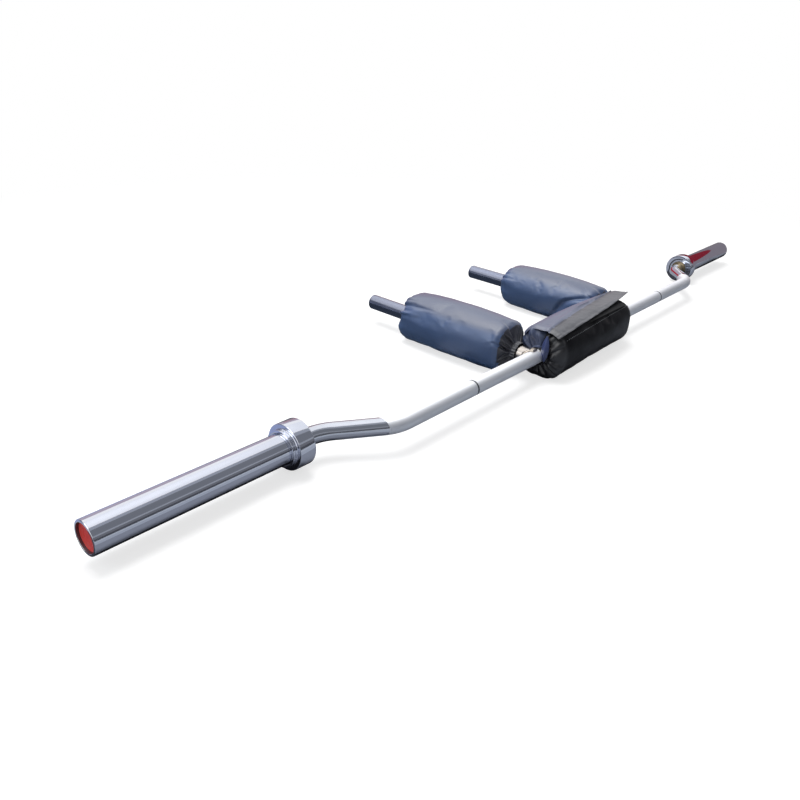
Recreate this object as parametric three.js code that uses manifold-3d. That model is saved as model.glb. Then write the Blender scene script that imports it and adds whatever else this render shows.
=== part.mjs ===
import * as THREE from 'three';
import { mergeVertices } from 'three/addons/utils/BufferGeometryUtils.js';
import Module from 'manifold-3d';

const wasm = await Module();
wasm.setup();

// Safety squat bar, in millimetres. X runs along the bar, +Y is behind the neck, the handles
// point to -Y and +Z is up. It lies on its three pads, and the origin is on the floor in the
// middle of the space that it covers.

// Shaft
const barLength = 2200;
const shaftDiameter = 30;
const spindleDiameter = 25;
const bendToSleeve = 38;
const camberRun = 103;
const camberReach = 77;
const camberDrop = 6;
const bendRadius = 75;
const ringMarkSpacing = 810;
const ringMarkWidth = 4;
const ringMarkDepth = 1;
const spindleChamfer = 1.5;

// Sleeves
const sleeveLength = 348;
const sleeveDiameter = 50;
const sleeveLandGap = 3;
const sleeveEndWall = 4;
const sleeveEdgeChamfer = 1.2;
const collarHeight = 13;
const collarThickness = 31;
const collarChamfer = 1.6;
const stepRingHeight = 5.5;
const stepRingWidth = 8;
const stepGrooveWidth = 1.6;
const stepGrooveDepth = 1.2;
const bushWall = 4.5;
const bushLength = 50;
const outerBushLength = 40;
const bushFlangeHeight = 3.1;
const bushFlangeThickness = 3;
const washerThickness = 2;
const snapRingThickness = 1.5;
const snapRingBand = 3;
const snapRingSeat = 0.9;
const snapRingEyeRadius = 0.8;
const spindleTail = 3.5;
const capRecess = 5;
const capFace = 3;
const capSkirt = 6;
const capWall = 1.8;
const capRim = 1;

// Arms
const armSpacing = 394;
const armReach = 437;
const armDiameter = 33.4;
const armWall = 3;
const weldRadius = 3.4;
const plugHead = 4;
const plugRounding = 2.5;
const plugSpigot = 18;

// Pads
const padGap = 3;
const shoulderPadLength = 270;
const shoulderPadWidth = 122;
const neckPadEndGap = 4.3;
const neckPadWidth = 98;
const padRise = 56;
const padDrop = 50;
const padRestFlat = 0.5;
const padEndRounding = 24;
const padEndDish = 9;
const shoulderHemStandOut = 8;
const gatherDepth = 3;
const coverThickness = 1.4;
const hemLength = 8;
const hemLip = 1.2;
const hemCordDiameter = 3;

// Closing flap and its tapes
const flapEndGap = 8;
const flapThickness = 1.6;
const flapLift = 9;
const tapeEndGap = 33;
const tapeThickness = 1.2;

// Clearances
const clearance = 0.3;
const runningClearance = 0.4;
const fabricClearance = 0.5;
const sheetClearance = 0.8;
const mouthClearance = 0.8;
const overrun = 5;

// Counts of sides and steps
const turnedSides = 30;
const smallSides = 24;
const shaftSides = 24;
const bendSteps = 6;
const coverSides = 36;
const foamSides = 18;
const gatherCount = 12;
const cordSides = 5;
const weldSides = 6;
const weldSteps = 20;
const snapRingSteps = 7;
const faceSteps = 2;
const rimSteps = 3;

const flapSteps = 10;
const tapeSteps = 3;

// Places round the neck cover as shares of one of its sides, counted up from the back, as [first, last].
// The flap's free edge, and the hook tape with it, draw back toward the right end.
const flapLeftShares = [4, 14];
const flapRightShares = [7.3, 14];
const hookTapeLeftShares = [5, 8];
const hookTapeRightShares = [7.97, 9.98];
const loopTapeShares = [5, 8];

// Angles
const snapRingOpening = Math.PI / 3;
const snapRingLugAngle = Math.PI / 9;

// Proportions
const boxyExponent = 2.7;
const crownShare = 0.07;
const crownStationShares = [-1, -0.55, 0, 0.55, 1];
const insideStationShares = [-1, 0, 1];
const gatherUnevennessShare = 0.3;

// Worked out from the sizes above
const shaftRadius = shaftDiameter / 2;
const spindleRadius = spindleDiameter / 2;
const armRadius = armDiameter / 2;
const armX = armSpacing / 2;
const sleeveEndX = barLength / 2;
const collarX = sleeveEndX - sleeveLength;
const secondBendX = collarX - bendToSleeve;
const firstBendX = secondBendX - camberRun;
const sleeveRadius = sleeveDiameter / 2;
const stepRingRadius = sleeveRadius + stepRingHeight;
const collarRadius = sleeveRadius + collarHeight;
const capRadius = sleeveRadius - sleeveEndWall;
const shaftZ = padDrop - padRestFlat;
const shaftY = (armReach - neckPadWidth / 2) / 2;
const bushRadius = spindleRadius + runningClearance;
const bushOuterRadius = bushRadius + bushWall;
const bushFlangeRadius = bushOuterRadius + bushFlangeHeight;
const flangeX = collarX - clearance - bushFlangeThickness;
const shoulderX = flangeX - runningClearance;
const capSeatX = sleeveEndX - capRecess - capFace - capSkirt;
const snapRingX = capSeatX - clearance - spindleTail - snapRingThickness;
const washerX = snapRingX - clearance - washerThickness;
const outerBushX = washerX - runningClearance - outerBushLength;
const spindleEndX = capSeatX - clearance;
const shoulderPadStart = neckPadWidth / 2 + padGap;
const neckPadLength = armSpacing - armDiameter - 2 * neckPadEndGap;
const flapLength = neckPadLength - 2 * flapEndGap;
const tapeLength = flapLength - 2 * tapeEndGap;

const finishes = {
  satinSteel: { color: 0xc6c9cc, roughness: 0.42, metalness: 1 },
  chrome: { color: 0xd2d6dc, roughness: 0.12, metalness: 1 },
  darkChrome: { color: 0x8b93a6, roughness: 0.28, metalness: 1 },
  weldMetal: { color: 0xd9d6cf, roughness: 0.3, metalness: 1 },
  bronze: { color: 0xb08a56, roughness: 0.4, metalness: 1 },
  springSteel: { color: 0x4b4d52, roughness: 0.45, metalness: 1 },
  redPlastic: { color: 0xc92a22, roughness: 0.38, metalness: 0 },
  blueVinyl: { color: 0x47506f, roughness: 0.42, metalness: 0 },
  blackVinyl: { color: 0x17181d, roughness: 0.4, metalness: 0 },
  greyVinyl: { color: 0x5d606b, roughness: 0.5, metalness: 0 },
  foam: { color: 0x3a3b40, roughness: 0.95, metalness: 0 },
  elastic: { color: 0x1b1b1d, roughness: 0.85, metalness: 0 },
  tape: { color: 0x101012, roughness: 0.95, metalness: 0 },
};

// Geometry helpers

// A turned piece about local Y, from a profile of [radius, place along the axis] pairs that runs
// anticlockwise. A hollow profile ends where it starts.
function turned(profile, sides) {
  return new THREE.LatheGeometry(profile.map(([radius, along]) => new THREE.Vector2(radius, along)), sides);
}

// A turned ring or tube: the profile is closed back to its first point.
function turnedRing(profile, sides) {
  return turned([...profile, profile[0]], sides);
}

// Turns a piece from local Y to X.
function alongX(geometry) {
  return geometry.rotateZ(-Math.PI / 2);
}

function toSolid(geometry) {
  const bare = geometry.clone();
  bare.deleteAttribute('normal');
  bare.deleteAttribute('uv');
  const merged = mergeVertices(bare);
  return new wasm.Manifold(new wasm.Mesh({
    numProp: 3,
    vertProperties: Float32Array.from(merged.attributes.position.array),
    triVerts: Uint32Array.from(merged.index.array),
  }));
}

function fromSolid(solid) {
  const mesh = solid.getMesh();
  const geometry = new THREE.BufferGeometry();
  geometry.setAttribute('position', new THREE.BufferAttribute(mesh.vertProperties, 3));
  geometry.setIndex(new THREE.BufferAttribute(mesh.triVerts, 1));
  return geometry;
}

// A skin over rings of points. The last ring joins the first, so the form has a hole through it.
function skinOverRings(rings) {
  const sides = rings[0].length;
  const indices = [];
  rings.forEach((ring, row) => {
    const here = row * sides;
    const next = ((row + 1) % rings.length) * sides;
    ring.forEach((point, side) => {
      const after = (side + 1) % sides;
      indices.push(here + side, next + after, next + side);
      indices.push(here + side, here + after, next + after);
    });
  });
  const geometry = new THREE.BufferGeometry();
  geometry.setFromPoints(rings.flat());
  geometry.setIndex(indices);
  return geometry;
}

// A cylinder about X or Y that cuts a round seat: its flats, not its corners, clear the radius.
function seatCutter(radius, length, axis) {
  const cutRadius = (radius + clearance) / Math.cos(Math.PI / shaftSides);
  const cutter = new THREE.CylinderGeometry(cutRadius, cutRadius, length, shaftSides);
  return toSolid(axis === 'x' ? alongX(cutter) : cutter);
}

function named(name, geometry, finish) {
  const mesh = new THREE.Mesh(geometry, new THREE.MeshStandardMaterial(finishes[finish]));
  mesh.name = name;
  return mesh;
}

// Main shaft

// A route through corners with a round bend at each inner one, as stations with a point and a tangent.
class BentRoute extends THREE.Curve {
  constructor(corners, radius) {
    super();
    this.stations = [];
    corners.forEach((corner, index) => {
      if (index === 0 || index === corners.length - 1) {
        const inner = index === 0 ? corners[1] : corners[index - 1];
        const outward = index === 0 ? inner.clone().sub(corner) : corner.clone().sub(inner);
        this.stations.push({ point: corner, tangent: outward.normalize() });
        return;
      }
      const before = corner.clone().sub(corners[index - 1]).normalize();
      const after = corners[index + 1].clone().sub(corner).normalize();
      const turn = before.angleTo(after);
      const start = corner.clone().addScaledVector(before, -radius * Math.tan(turn / 2));
      const side = after.clone().addScaledVector(before, -Math.cos(turn)).normalize();
      for (let step = 0; step <= bendSteps; step += 1) {
        const angle = (turn * step) / bendSteps;
        const point = start.clone().addScaledVector(before, radius * Math.sin(angle));
        point.addScaledVector(side, radius * (1 - Math.cos(angle)));
        const tangent = before.clone().multiplyScalar(Math.cos(angle)).addScaledVector(side, Math.sin(angle));
        this.stations.push({ point, tangent });
      }
    });
  }

  stationAt(share) {
    return this.stations[Math.round(share * (this.stations.length - 1))];
  }

  getPoint(share) {
    return this.stationAt(share).point.clone();
  }

  getPointAt(share) {
    return this.getPoint(share);
  }

  getTangentAt(share) {
    return this.stationAt(share).tangent.clone();
  }
}

function bentShaft() {
  const half = [
    new THREE.Vector3(firstBendX, 0, 0),
    new THREE.Vector3(secondBendX, -camberReach, -camberDrop),
    new THREE.Vector3(shoulderX, -camberReach, -camberDrop),
  ];
  const mirrored = half.map((corner) => new THREE.Vector3(-corner.x, corner.y, corner.z)).reverse();
  const route = new BentRoute([...mirrored, ...half], bendRadius);
  const section = new THREE.Shape().absarc(0, 0, shaftRadius, 0, 2 * Math.PI);
  return new THREE.ExtrudeGeometry(section, {
    steps: route.stations.length - 1,
    curveSegments: shaftSides / 2,
    extrudePath: route,
  });
}

// The turned end that the sleeve runs on, with the groove for its snap ring.
function spindle() {
  const grooveRadius = spindleRadius - snapRingSeat;
  const grooveStart = snapRingX - clearance;
  const grooveEnd = snapRingX + snapRingThickness + clearance;
  return toSolid(alongX(turned([
    [0, shoulderX - overrun],
    [spindleRadius, shoulderX - overrun],
    [spindleRadius, grooveStart],
    [grooveRadius, grooveStart],
    [grooveRadius, grooveEnd],
    [spindleRadius, grooveEnd],
    [spindleRadius, spindleEndX - spindleChamfer],
    [spindleRadius - spindleChamfer, spindleEndX],
    [0, spindleEndX],
  ], shaftSides)));
}

// The ring cut into the shaft that marks the grip width.
function ringMark(centreX) {
  const rootRadius = shaftRadius - ringMarkDepth;
  const outerRadius = shaftRadius + overrun;
  return toSolid(alongX(turnedRing([
    [rootRadius, centreX - ringMarkWidth / 2],
    [outerRadius, centreX - ringMarkWidth / 2],
    [outerRadius, centreX + ringMarkWidth / 2],
    [rootRadius, centreX + ringMarkWidth / 2],
  ], shaftSides)));
}

function mainShaft() {
  let solid = toSolid(bentShaft());
  [0, Math.PI].forEach((turn) => {
    const end = spindle().rotate([0, 0, THREE.MathUtils.radToDeg(turn)]);
    solid = solid.add(end.translate([0, -camberReach, -camberDrop]));
  });
  [-1, 1].forEach((side) => {
    solid = solid.subtract(ringMark((side * ringMarkSpacing) / 2));
  });
  return fromSolid(solid);
}

// Sleeve assembly, built about X with places along the bar counted from its middle

function sleeveTube() {
  const land = spindleRadius + sleeveLandGap;
  const bushBore = bushOuterRadius + clearance;
  return alongX(turnedRing([
    [bushBore, collarX],
    [sleeveRadius, collarX],
    [sleeveRadius, sleeveEndX - sleeveEdgeChamfer],
    [sleeveRadius - sleeveEdgeChamfer, sleeveEndX],
    [capRadius, sleeveEndX],
    [capRadius, capSeatX],
    [bushBore, capSeatX],
    [bushBore, outerBushX - clearance],
    [land, outerBushX - clearance],
    [land, collarX + bushLength + clearance],
    [bushBore, collarX + bushLength + clearance],
  ], turnedSides));
}

// The flange that stops the plates, with a grooved step ring on its outer side.
function sleeveCollar() {
  const bore = sleeveRadius + clearance;
  const flangeEnd = collarX + collarThickness;
  const stepEnd = flangeEnd + stepRingWidth;
  const grooveStart = flangeEnd + (stepRingWidth - stepGrooveWidth) / 2;
  return alongX(turnedRing([
    [bore, collarX],
    [collarRadius - collarChamfer, collarX],
    [collarRadius, collarX + collarChamfer],
    [collarRadius, flangeEnd - collarChamfer],
    [collarRadius - collarChamfer, flangeEnd],
    [stepRingRadius, flangeEnd],
    [stepRingRadius, grooveStart],
    [stepRingRadius - stepGrooveDepth, grooveStart],
    [stepRingRadius - stepGrooveDepth, grooveStart + stepGrooveWidth],
    [stepRingRadius, grooveStart + stepGrooveWidth],
    [stepRingRadius, stepEnd],
    [bore, stepEnd],
  ], turnedSides));
}

// The flanged bush at the collar, whose flange runs against the shaft's shoulder.
function innerBush() {
  const flangeEnd = flangeX + bushFlangeThickness;
  return alongX(turnedRing([
    [bushRadius, flangeX],
    [bushFlangeRadius, flangeX],
    [bushFlangeRadius, flangeEnd],
    [bushOuterRadius, flangeEnd],
    [bushOuterRadius, collarX + bushLength],
    [bushRadius, collarX + bushLength],
  ], smallSides));
}

// A plain ring between two radii.
function plainRing(innerRadius, outerRadius, start, length, sides) {
  return alongX(turnedRing([
    [innerRadius, start],
    [outerRadius, start],
    [outerRadius, start + length],
    [innerRadius, start + length],
  ], sides));
}

// The external snap ring: a band open on one side, with an eye in each lug for the pliers.
function snapRing() {
  const inner = spindleRadius - snapRingSeat + clearance;
  const outer = inner + snapRingBand;
  const openStart = snapRingOpening / 2;
  const openEnd = 2 * Math.PI - openStart;
  const band = new THREE.Shape();
  band.absarc(0, 0, outer, openStart, openEnd, false);
  band.absarc(0, 0, inner, openEnd, openStart, true);
  [openStart + snapRingLugAngle / 2, openEnd - snapRingLugAngle / 2].forEach((angle) => {
    const reach = (inner + outer) / 2;
    const eye = new THREE.Path();
    eye.absarc(reach * Math.cos(angle), reach * Math.sin(angle), snapRingEyeRadius, 0, 2 * Math.PI, true);
    band.holes.push(eye);
  });
  const geometry = new THREE.ExtrudeGeometry(band, {
    depth: snapRingThickness,
    curveSegments: snapRingSteps,
    bevelEnabled: false,
  });
  return geometry.rotateY(Math.PI / 2).translate(snapRingX, 0, 0);
}

// The cap pressed into the sleeve's end: a raised rim round a flat face, and a skirt behind it.
function endCap() {
  const outer = capRadius - clearance;
  const face = sleeveEndX - capRecess;
  const back = face - capFace;
  return alongX(turned([
    [0, back],
    [outer - capWall, back],
    [outer - capWall, back - capSkirt + clearance],
    [outer, back - capSkirt + clearance],
    [outer, face + capRim],
    [outer - capWall, face + capRim],
    [outer - capWall - capRim, face],
    [0, face],
  ], turnedSides));
}

// Arms, built about local Y from the shaft's axis

function armTube() {
  const inner = armRadius - armWall;
  const end = -(armReach - plugHead - clearance);
  const tube = toSolid(turnedRing([
    [inner, end],
    [armRadius, end],
    [armRadius, 0],
    [inner, 0],
  ], shaftSides));
  return fromSolid(tube.subtract(seatCutter(shaftRadius, armSpacing, 'x')));
}

// The bead of weld in the corner between an arm and the shaft.
function armWeld() {
  const rings = [];
  for (let step = 0; step < weldSteps; step += 1) {
    const round = (2 * Math.PI * step) / weldSteps;
    const outward = new THREE.Vector3(Math.cos(round), 0, Math.sin(round));
    const height = armRadius * outward.z;
    const depth = Math.sqrt(Math.max(shaftRadius ** 2 - height ** 2, 0));
    const centre = new THREE.Vector3(armRadius * outward.x, -depth, height);
    const ring = [];
    for (let side = 0; side < weldSides; side += 1) {
      const angle = (2 * Math.PI * side) / weldSides;
      const point = centre.clone().addScaledVector(outward, weldRadius * Math.cos(angle));
      point.y += weldRadius * Math.sin(angle);
      ring.push(point);
    }
    rings.push(ring);
  }
  const bead = toSolid(skinOverRings(rings));
  const cutShaft = bead.subtract(seatCutter(shaftRadius, armSpacing, 'x'));
  const armSeat = seatCutter(armRadius, armReach, 'y').translate([0, -armReach / 2, 0]);
  return fromSolid(cutShaft.subtract(armSeat));
}

// The plug in the handle's end, with a rounded head as wide as the tube.
function handlePlug() {
  const spigot = armRadius - armWall - clearance;
  const neck = -(armReach - plugHead);
  const end = -armReach;
  return turned([
    [0, end],
    [armRadius - plugRounding, end],
    [armRadius - plugRounding * (1 - Math.SQRT1_2), end + plugRounding * (1 - Math.SQRT1_2)],
    [armRadius, end + plugRounding],
    [armRadius, neck],
    [spigot, neck],
    [spigot, neck + plugSpigot],
    [0, neck + plugSpigot],
  ], shaftSides);
}

// Pads, built about local X with the middle at zero

// One ring of a pad: a boxy section that turns round as it nears the tube it is gathered on. A flat
// of the section lies below, and half sizes give its reach across, up and down.
function padRing(sides, along, half, roundShare, gather) {
  const ring = [];
  const power = 2 / THREE.MathUtils.lerp(boxyExponent, 2, roundShare);
  for (let side = 0; side < sides; side += 1) {
    const angle = (2 * Math.PI * (side + 1 / 2)) / sides;
    const across = Math.sign(Math.cos(angle)) * Math.abs(Math.cos(angle)) ** power;
    const up = Math.sign(Math.sin(angle)) * Math.abs(Math.sin(angle)) ** power;
    const fold = gather * gatherAt(angle);
    const reach = up > 0 ? half.up : half.down;
    ring.push(new THREE.Vector3(along, (half.across - fold) * across, (reach - fold) * up));
  }
  return ring;
}

// How deep the gathers lie at an angle, from 0 on a ridge to 1 in a valley, a little uneven.
function gatherAt(angle) {
  const wave = (1 - Math.cos(gatherCount * angle)) / 2;
  return wave * (1 - gatherUnevennessShare * (1 + Math.sin(2 * angle)) / 2);
}

// A pad's half sizes at a place along its body, counted from -1 to 1, at an inset from its outside.
// The body is crowned, but lies flat underneath.
function bodyHalf(pad, share, inset) {
  const crown = 1 - crownShare * share ** 2;
  return {
    across: (pad.width / 2) * crown - inset,
    up: padRise * crown - inset,
    down: padDrop - inset,
  };
}

// The half sizes all drawn in by one amount.
function drawnIn(half, amount) {
  return { across: half.across - amount, up: half.up - amount, down: half.down - amount };
}

// The rings of a cover's outside, from one end to the other, without the hems.
function coverOutside(pad) {
  const body = crownStationShares.map((share) => ({
    along: (pad.length / 2 - padEndRounding) * share,
    half: bodyHalf(pad, share, 0),
    roundShare: 0,
    gather: 0,
  }));
  const nearEnd = gatheredEnd(pad, pad.nearDish).map((station) => ({ ...station, along: -station.along }));
  return [...nearEnd, ...body, ...gatheredEnd(pad, pad.farDish).reverse()].map(
    ({ along, half, roundShare, gather }) => padRing(coverSides, along, half, roundShare, gather),
  );
}

// The stations of a gathered end, from the hem out to the rim. A dish sinks the hem into the end,
// and a negative one lets it stand out.
function gatheredEnd(pad, dish) {
  const rim = bodyHalf(pad, 1, 0);
  const face = drawnIn(rim, padEndRounding);
  const hemOuter = pad.hemRadius + coverThickness;
  const end = [];
  for (let step = 1; step <= faceSteps; step += 1) {
    const share = step / (faceSteps + 1);
    end.push({
      along: pad.length / 2 - dish * (1 - share) ** 2,
      half: {
        across: THREE.MathUtils.lerp(hemOuter, face.across, share),
        up: THREE.MathUtils.lerp(hemOuter, face.up, share),
        down: THREE.MathUtils.lerp(hemOuter, face.down, share),
      },
      roundShare: 1 - share,
      gather: gatherDepth * share,
    });
  }
  for (let step = 0; step < rimSteps; step += 1) {
    const angle = (Math.PI / 2) * (step / rimSteps);
    end.push({
      along: pad.length / 2 - padEndRounding * (1 - Math.cos(angle)),
      half: drawnIn(rim, padEndRounding * (1 - Math.sin(angle))),
      roundShare: 0,
      gather: gatherDepth * Math.cos(angle),
    });
  }
  return end;
}

function roundRing(sides, along, radius) {
  return padRing(sides, along, { across: radius, up: radius, down: radius }, 1, 0);
}

// The rings of the space inside a cover at an inset from its outside, which the foam fills.
function coverInside(pad, sides, inset) {
  const end = pad.length / 2 - padEndDish - gatherDepth - inset;
  const endHalf = drawnIn(bodyHalf(pad, 1, inset), padEndRounding - padEndDish + gatherDepth);
  const body = insideStationShares.map((share) => padRing(
    sides,
    (pad.length / 2 - padEndRounding) * share,
    bodyHalf(pad, share, inset),
    0,
    0,
  ));
  return [padRing(sides, -end, endHalf, 0, 0), ...body, padRing(sides, end, endHalf, 0, 0)];
}

// The cover: its outside with gathered ends, a hem at each mouth, and its inside. It lies on a flat.
function padCover(pad) {
  const restLevel = padRestFlat - padDrop;
  const outside = coverOutside(pad);
  outside.flat().forEach((point) => {
    point.z = Math.max(point.z, restLevel);
  });
  const farHem = padHem(pad, pad.farDish).map(([along, radius]) => roundRing(coverSides, along, radius));
  const nearHem = padHem(pad, pad.nearDish).map(([along, radius]) => roundRing(coverSides, -along, radius));
  const inside = coverInside(pad, coverSides, coverThickness).reverse();
  return skinOverRings([...outside, ...farHem, ...inside, ...nearHem.reverse()]);
}

// A hem's profile, as [place along the pad, radius], from the gathered end to the inside.
function padHem(pad, dish) {
  const root = pad.length / 2 - dish;
  const end = root + hemLength;
  const outer = pad.hemRadius + coverThickness;
  return [
    [root, outer],
    [end, outer],
    [end - hemLip, pad.tubeRadius + mouthClearance],
    [end - hemLip, pad.hemRadius],
    [root - gatherDepth - coverThickness, pad.hemRadius],
  ];
}

// The foam core, with a bore for the tube it is pushed on.
function padFoam(pad) {
  const inset = coverThickness + fabricClearance;
  const bore = pad.tubeRadius + fabricClearance;
  const end = pad.length / 2 - padEndDish - gatherDepth - inset;
  return skinOverRings([
    ...coverInside(pad, foamSides, inset),
    roundRing(foamSides, end, bore),
    roundRing(foamSides, -end, bore),
  ]);
}

// The elastic cord in a hem, at a place along the pad.
function hemCord(pad, along) {
  const cordRadius = hemCordDiameter / 2;
  const reach = pad.tubeRadius + fabricClearance + cordRadius;
  const profile = [];
  for (let side = 0; side < cordSides; side += 1) {
    const angle = (2 * Math.PI * side) / cordSides;
    profile.push([reach + cordRadius * Math.cos(angle), along + cordRadius * Math.sin(angle)]);
  }
  return alongX(turnedRing(profile, foamSides));
}

// A sheet that follows the top of a pad's cover between two places round its section, given for the
// left and the right end of the flap. It lies an offset off the cover, and can rise above that.
function coverSheet(pad, length, leftShares, rightShares, steps, thickness, offsetAt, riseAt) {
  const end = length / 2;
  const bodyEnd = pad.length / 2 - padEndRounding;
  const between = crownStationShares.map((share) => bodyEnd * share).filter((along) => Math.abs(along) < end);
  const pointAt = (along, roundShare, thick) => {
    const rightShare = 1 / 2 - along / flapLength;
    const first = THREE.MathUtils.lerp(leftShares[0], rightShares[0], rightShare);
    const last = THREE.MathUtils.lerp(leftShares[1], rightShares[1], rightShare);
    const side = THREE.MathUtils.lerp(first, last, roundShare);
    const half = bodyHalf(pad, along / bodyEnd, -thick - offsetAt(roundShare));
    half.up += riseAt(rightShare, roundShare);
    const ring = padRing(coverSides, along, half, 0, 0);
    const low = Math.floor(side);
    return ring[low].lerp(ring[low + 1], side - low);
  };
  const shares = Array.from({ length: steps + 1 }, (_, step) => step / steps);
  const rings = [-end, ...between, end].map((along) => [
    ...shares.map((share) => pointAt(along, share, thickness)),
    ...shares.toReversed().map((share) => pointAt(along, share, 0)),
  ]);
  return cappedSkin(rings);
}

// A skin over rings of points with a flat cap over the first and last, each a strip of paired points.
function cappedSkin(rings) {
  const sides = rings[0].length;
  const geometry = new THREE.BufferGeometry().setFromPoints(rings.flat());
  const indices = [];
  rings.slice(1).forEach((ring, row) => {
    const here = row * sides;
    const next = here + sides;
    for (let side = 0; side < sides; side += 1) {
      const after = (side + 1) % sides;
      indices.push(here + side, next + after, next + side);
      indices.push(here + side, here + after, next + after);
    }
  });
  const last = (rings.length - 1) * sides;
  for (let side = 0; side < sides / 2 - 1; side += 1) {
    const across = sides - 1 - side;
    indices.push(side, across - 1, side + 1);
    indices.push(side, across, across - 1);
    indices.push(last + side, last + side + 1, last + across - 1);
    indices.push(last + side, last + across - 1, last + across);
  }
  geometry.setIndex(indices);
  return geometry;
}

// Assembly

const shoulderPad = {
  length: shoulderPadLength,
  width: shoulderPadWidth,
  nearDish: -shoulderHemStandOut,
  farDish: padEndDish,
  tubeRadius: armRadius,
  hemRadius: armRadius + 2 * fabricClearance + hemCordDiameter,
};
const neckPad = {
  length: neckPadLength,
  width: neckPadWidth,
  nearDish: padEndDish,
  farDish: padEndDish,
  tubeRadius: shaftRadius,
  hemRadius: shaftRadius + 2 * fabricClearance + hemCordDiameter,
};

const bar = new THREE.Group();
bar.position.set(0, shaftY, shaftZ);

bar.add(named('main_shaft', mainShaft(), 'satinSteel'));

// Adds one sleeve with its bearing. The right one is the left one turned round.
function addSleeve(side, turn) {
  const sleeve = new THREE.Group();
  sleeve.position.set(0, -camberReach, -camberDrop);
  sleeve.rotation.z = turn;
  const washer = plainRing(
    bushRadius,
    bushOuterRadius - clearance,
    washerX,
    washerThickness,
    smallSides,
  );
  const outerBush = plainRing(bushRadius, bushOuterRadius, outerBushX, outerBushLength, smallSides);
  sleeve.add(
    named(`${side}_sleeve_tube`, sleeveTube(), 'chrome'),
    named(`${side}_sleeve_collar`, sleeveCollar(), 'chrome'),
    named(`${side}_inner_bush`, innerBush(), 'bronze'),
    named(`${side}_outer_bush`, outerBush, 'bronze'),
    named(`${side}_thrust_washer`, washer, 'springSteel'),
    named(`${side}_snap_ring`, snapRing(), 'springSteel'),
    named(`${side}_end_cap`, endCap(), 'redPlastic'),
  );
  bar.add(sleeve);
}

// Adds one arm with its weld, its plug and its shoulder pad.
function addArm(side, x) {
  const arm = new THREE.Group();
  arm.position.x = x;
  arm.add(
    named(`${side}_arm_tube`, armTube(), 'darkChrome'),
    named(`${side}_arm_weld`, armWeld(), 'weldMetal'),
    named(`${side}_handle_plug`, handlePlug(), 'darkChrome'),
  );
  const innerCordAlong = shoulderPad.nearDish - shoulderPad.length / 2;
  const outerCordAlong = shoulderPad.length / 2 - shoulderPad.farDish;
  const pad = new THREE.Group();
  pad.position.y = -(shoulderPadStart + shoulderPadLength / 2);
  pad.rotation.z = -Math.PI / 2;
  pad.add(
    named(`${side}_shoulder_foam`, padFoam(shoulderPad), 'foam'),
    named(`${side}_shoulder_cover`, padCover(shoulderPad), 'blueVinyl'),
    named(`${side}_shoulder_inner_cord`, hemCord(shoulderPad, innerCordAlong), 'elastic'),
    named(`${side}_shoulder_outer_cord`, hemCord(shoulderPad, outerCordAlong), 'elastic'),
  );
  arm.add(pad);
  bar.add(arm);
}

// Adds the neck pad on the shaft, with its flap and the tapes that hold the flap down.
function addNeckPad() {
  const cordAlong = neckPad.length / 2 - padEndDish;
  const loopOffset = fabricClearance;
  const hookOffset = loopOffset + tapeThickness + sheetClearance;
  const flapOffset = hookOffset + tapeThickness + fabricClearance;
  const [flapFirst, flapLast] = flapLeftShares;
  const sewnFrom = (hookTapeLeftShares[1] + 1 - flapFirst) / (flapLast - flapFirst);
  const flapOffsetAt = (roundShare) => {
    const settled = THREE.MathUtils.smoothstep(roundShare, sewnFrom, 1);
    return THREE.MathUtils.lerp(flapOffset, sheetClearance, settled);
  };
  const flapRiseAt = (rightShare, roundShare) => {
    const tipShare = Math.max(0, 2 * rightShare - 1) ** 3;
    return flapLift * tipShare * (1 - roundShare) ** 3;
  };
  const level = () => 0;
  const tapeOf = (left, right, offset) => (
    coverSheet(neckPad, tapeLength, left, right, tapeSteps, tapeThickness, () => offset, level)
  );
  const flapOf = (...rest) => coverSheet(neckPad, flapLength, flapLeftShares, flapRightShares, ...rest);
  const loopTape = tapeOf(loopTapeShares, loopTapeShares, loopOffset);
  const hookTape = tapeOf(hookTapeLeftShares, hookTapeRightShares, hookOffset);
  const flap = flapOf(flapSteps, flapThickness, flapOffsetAt, flapRiseAt);
  bar.add(
    named('neck_foam', padFoam(neckPad), 'foam'),
    named('neck_cover', padCover(neckPad), 'blackVinyl'),
    named('neck_left_cord', hemCord(neckPad, cordAlong), 'elastic'),
    named('neck_right_cord', hemCord(neckPad, -cordAlong), 'elastic'),
    named('loop_tape', loopTape, 'tape'),
    named('hook_tape', hookTape, 'tape'),
    named('neck_flap', flap, 'greyVinyl'),
  );
}

addSleeve('left', 0);
addSleeve('right', Math.PI);
addArm('left', armX);
addArm('right', -armX);
addNeckPad();

export default bar;
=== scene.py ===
import math
import random

import bpy
from mathutils import Matrix, Vector, noise


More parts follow.
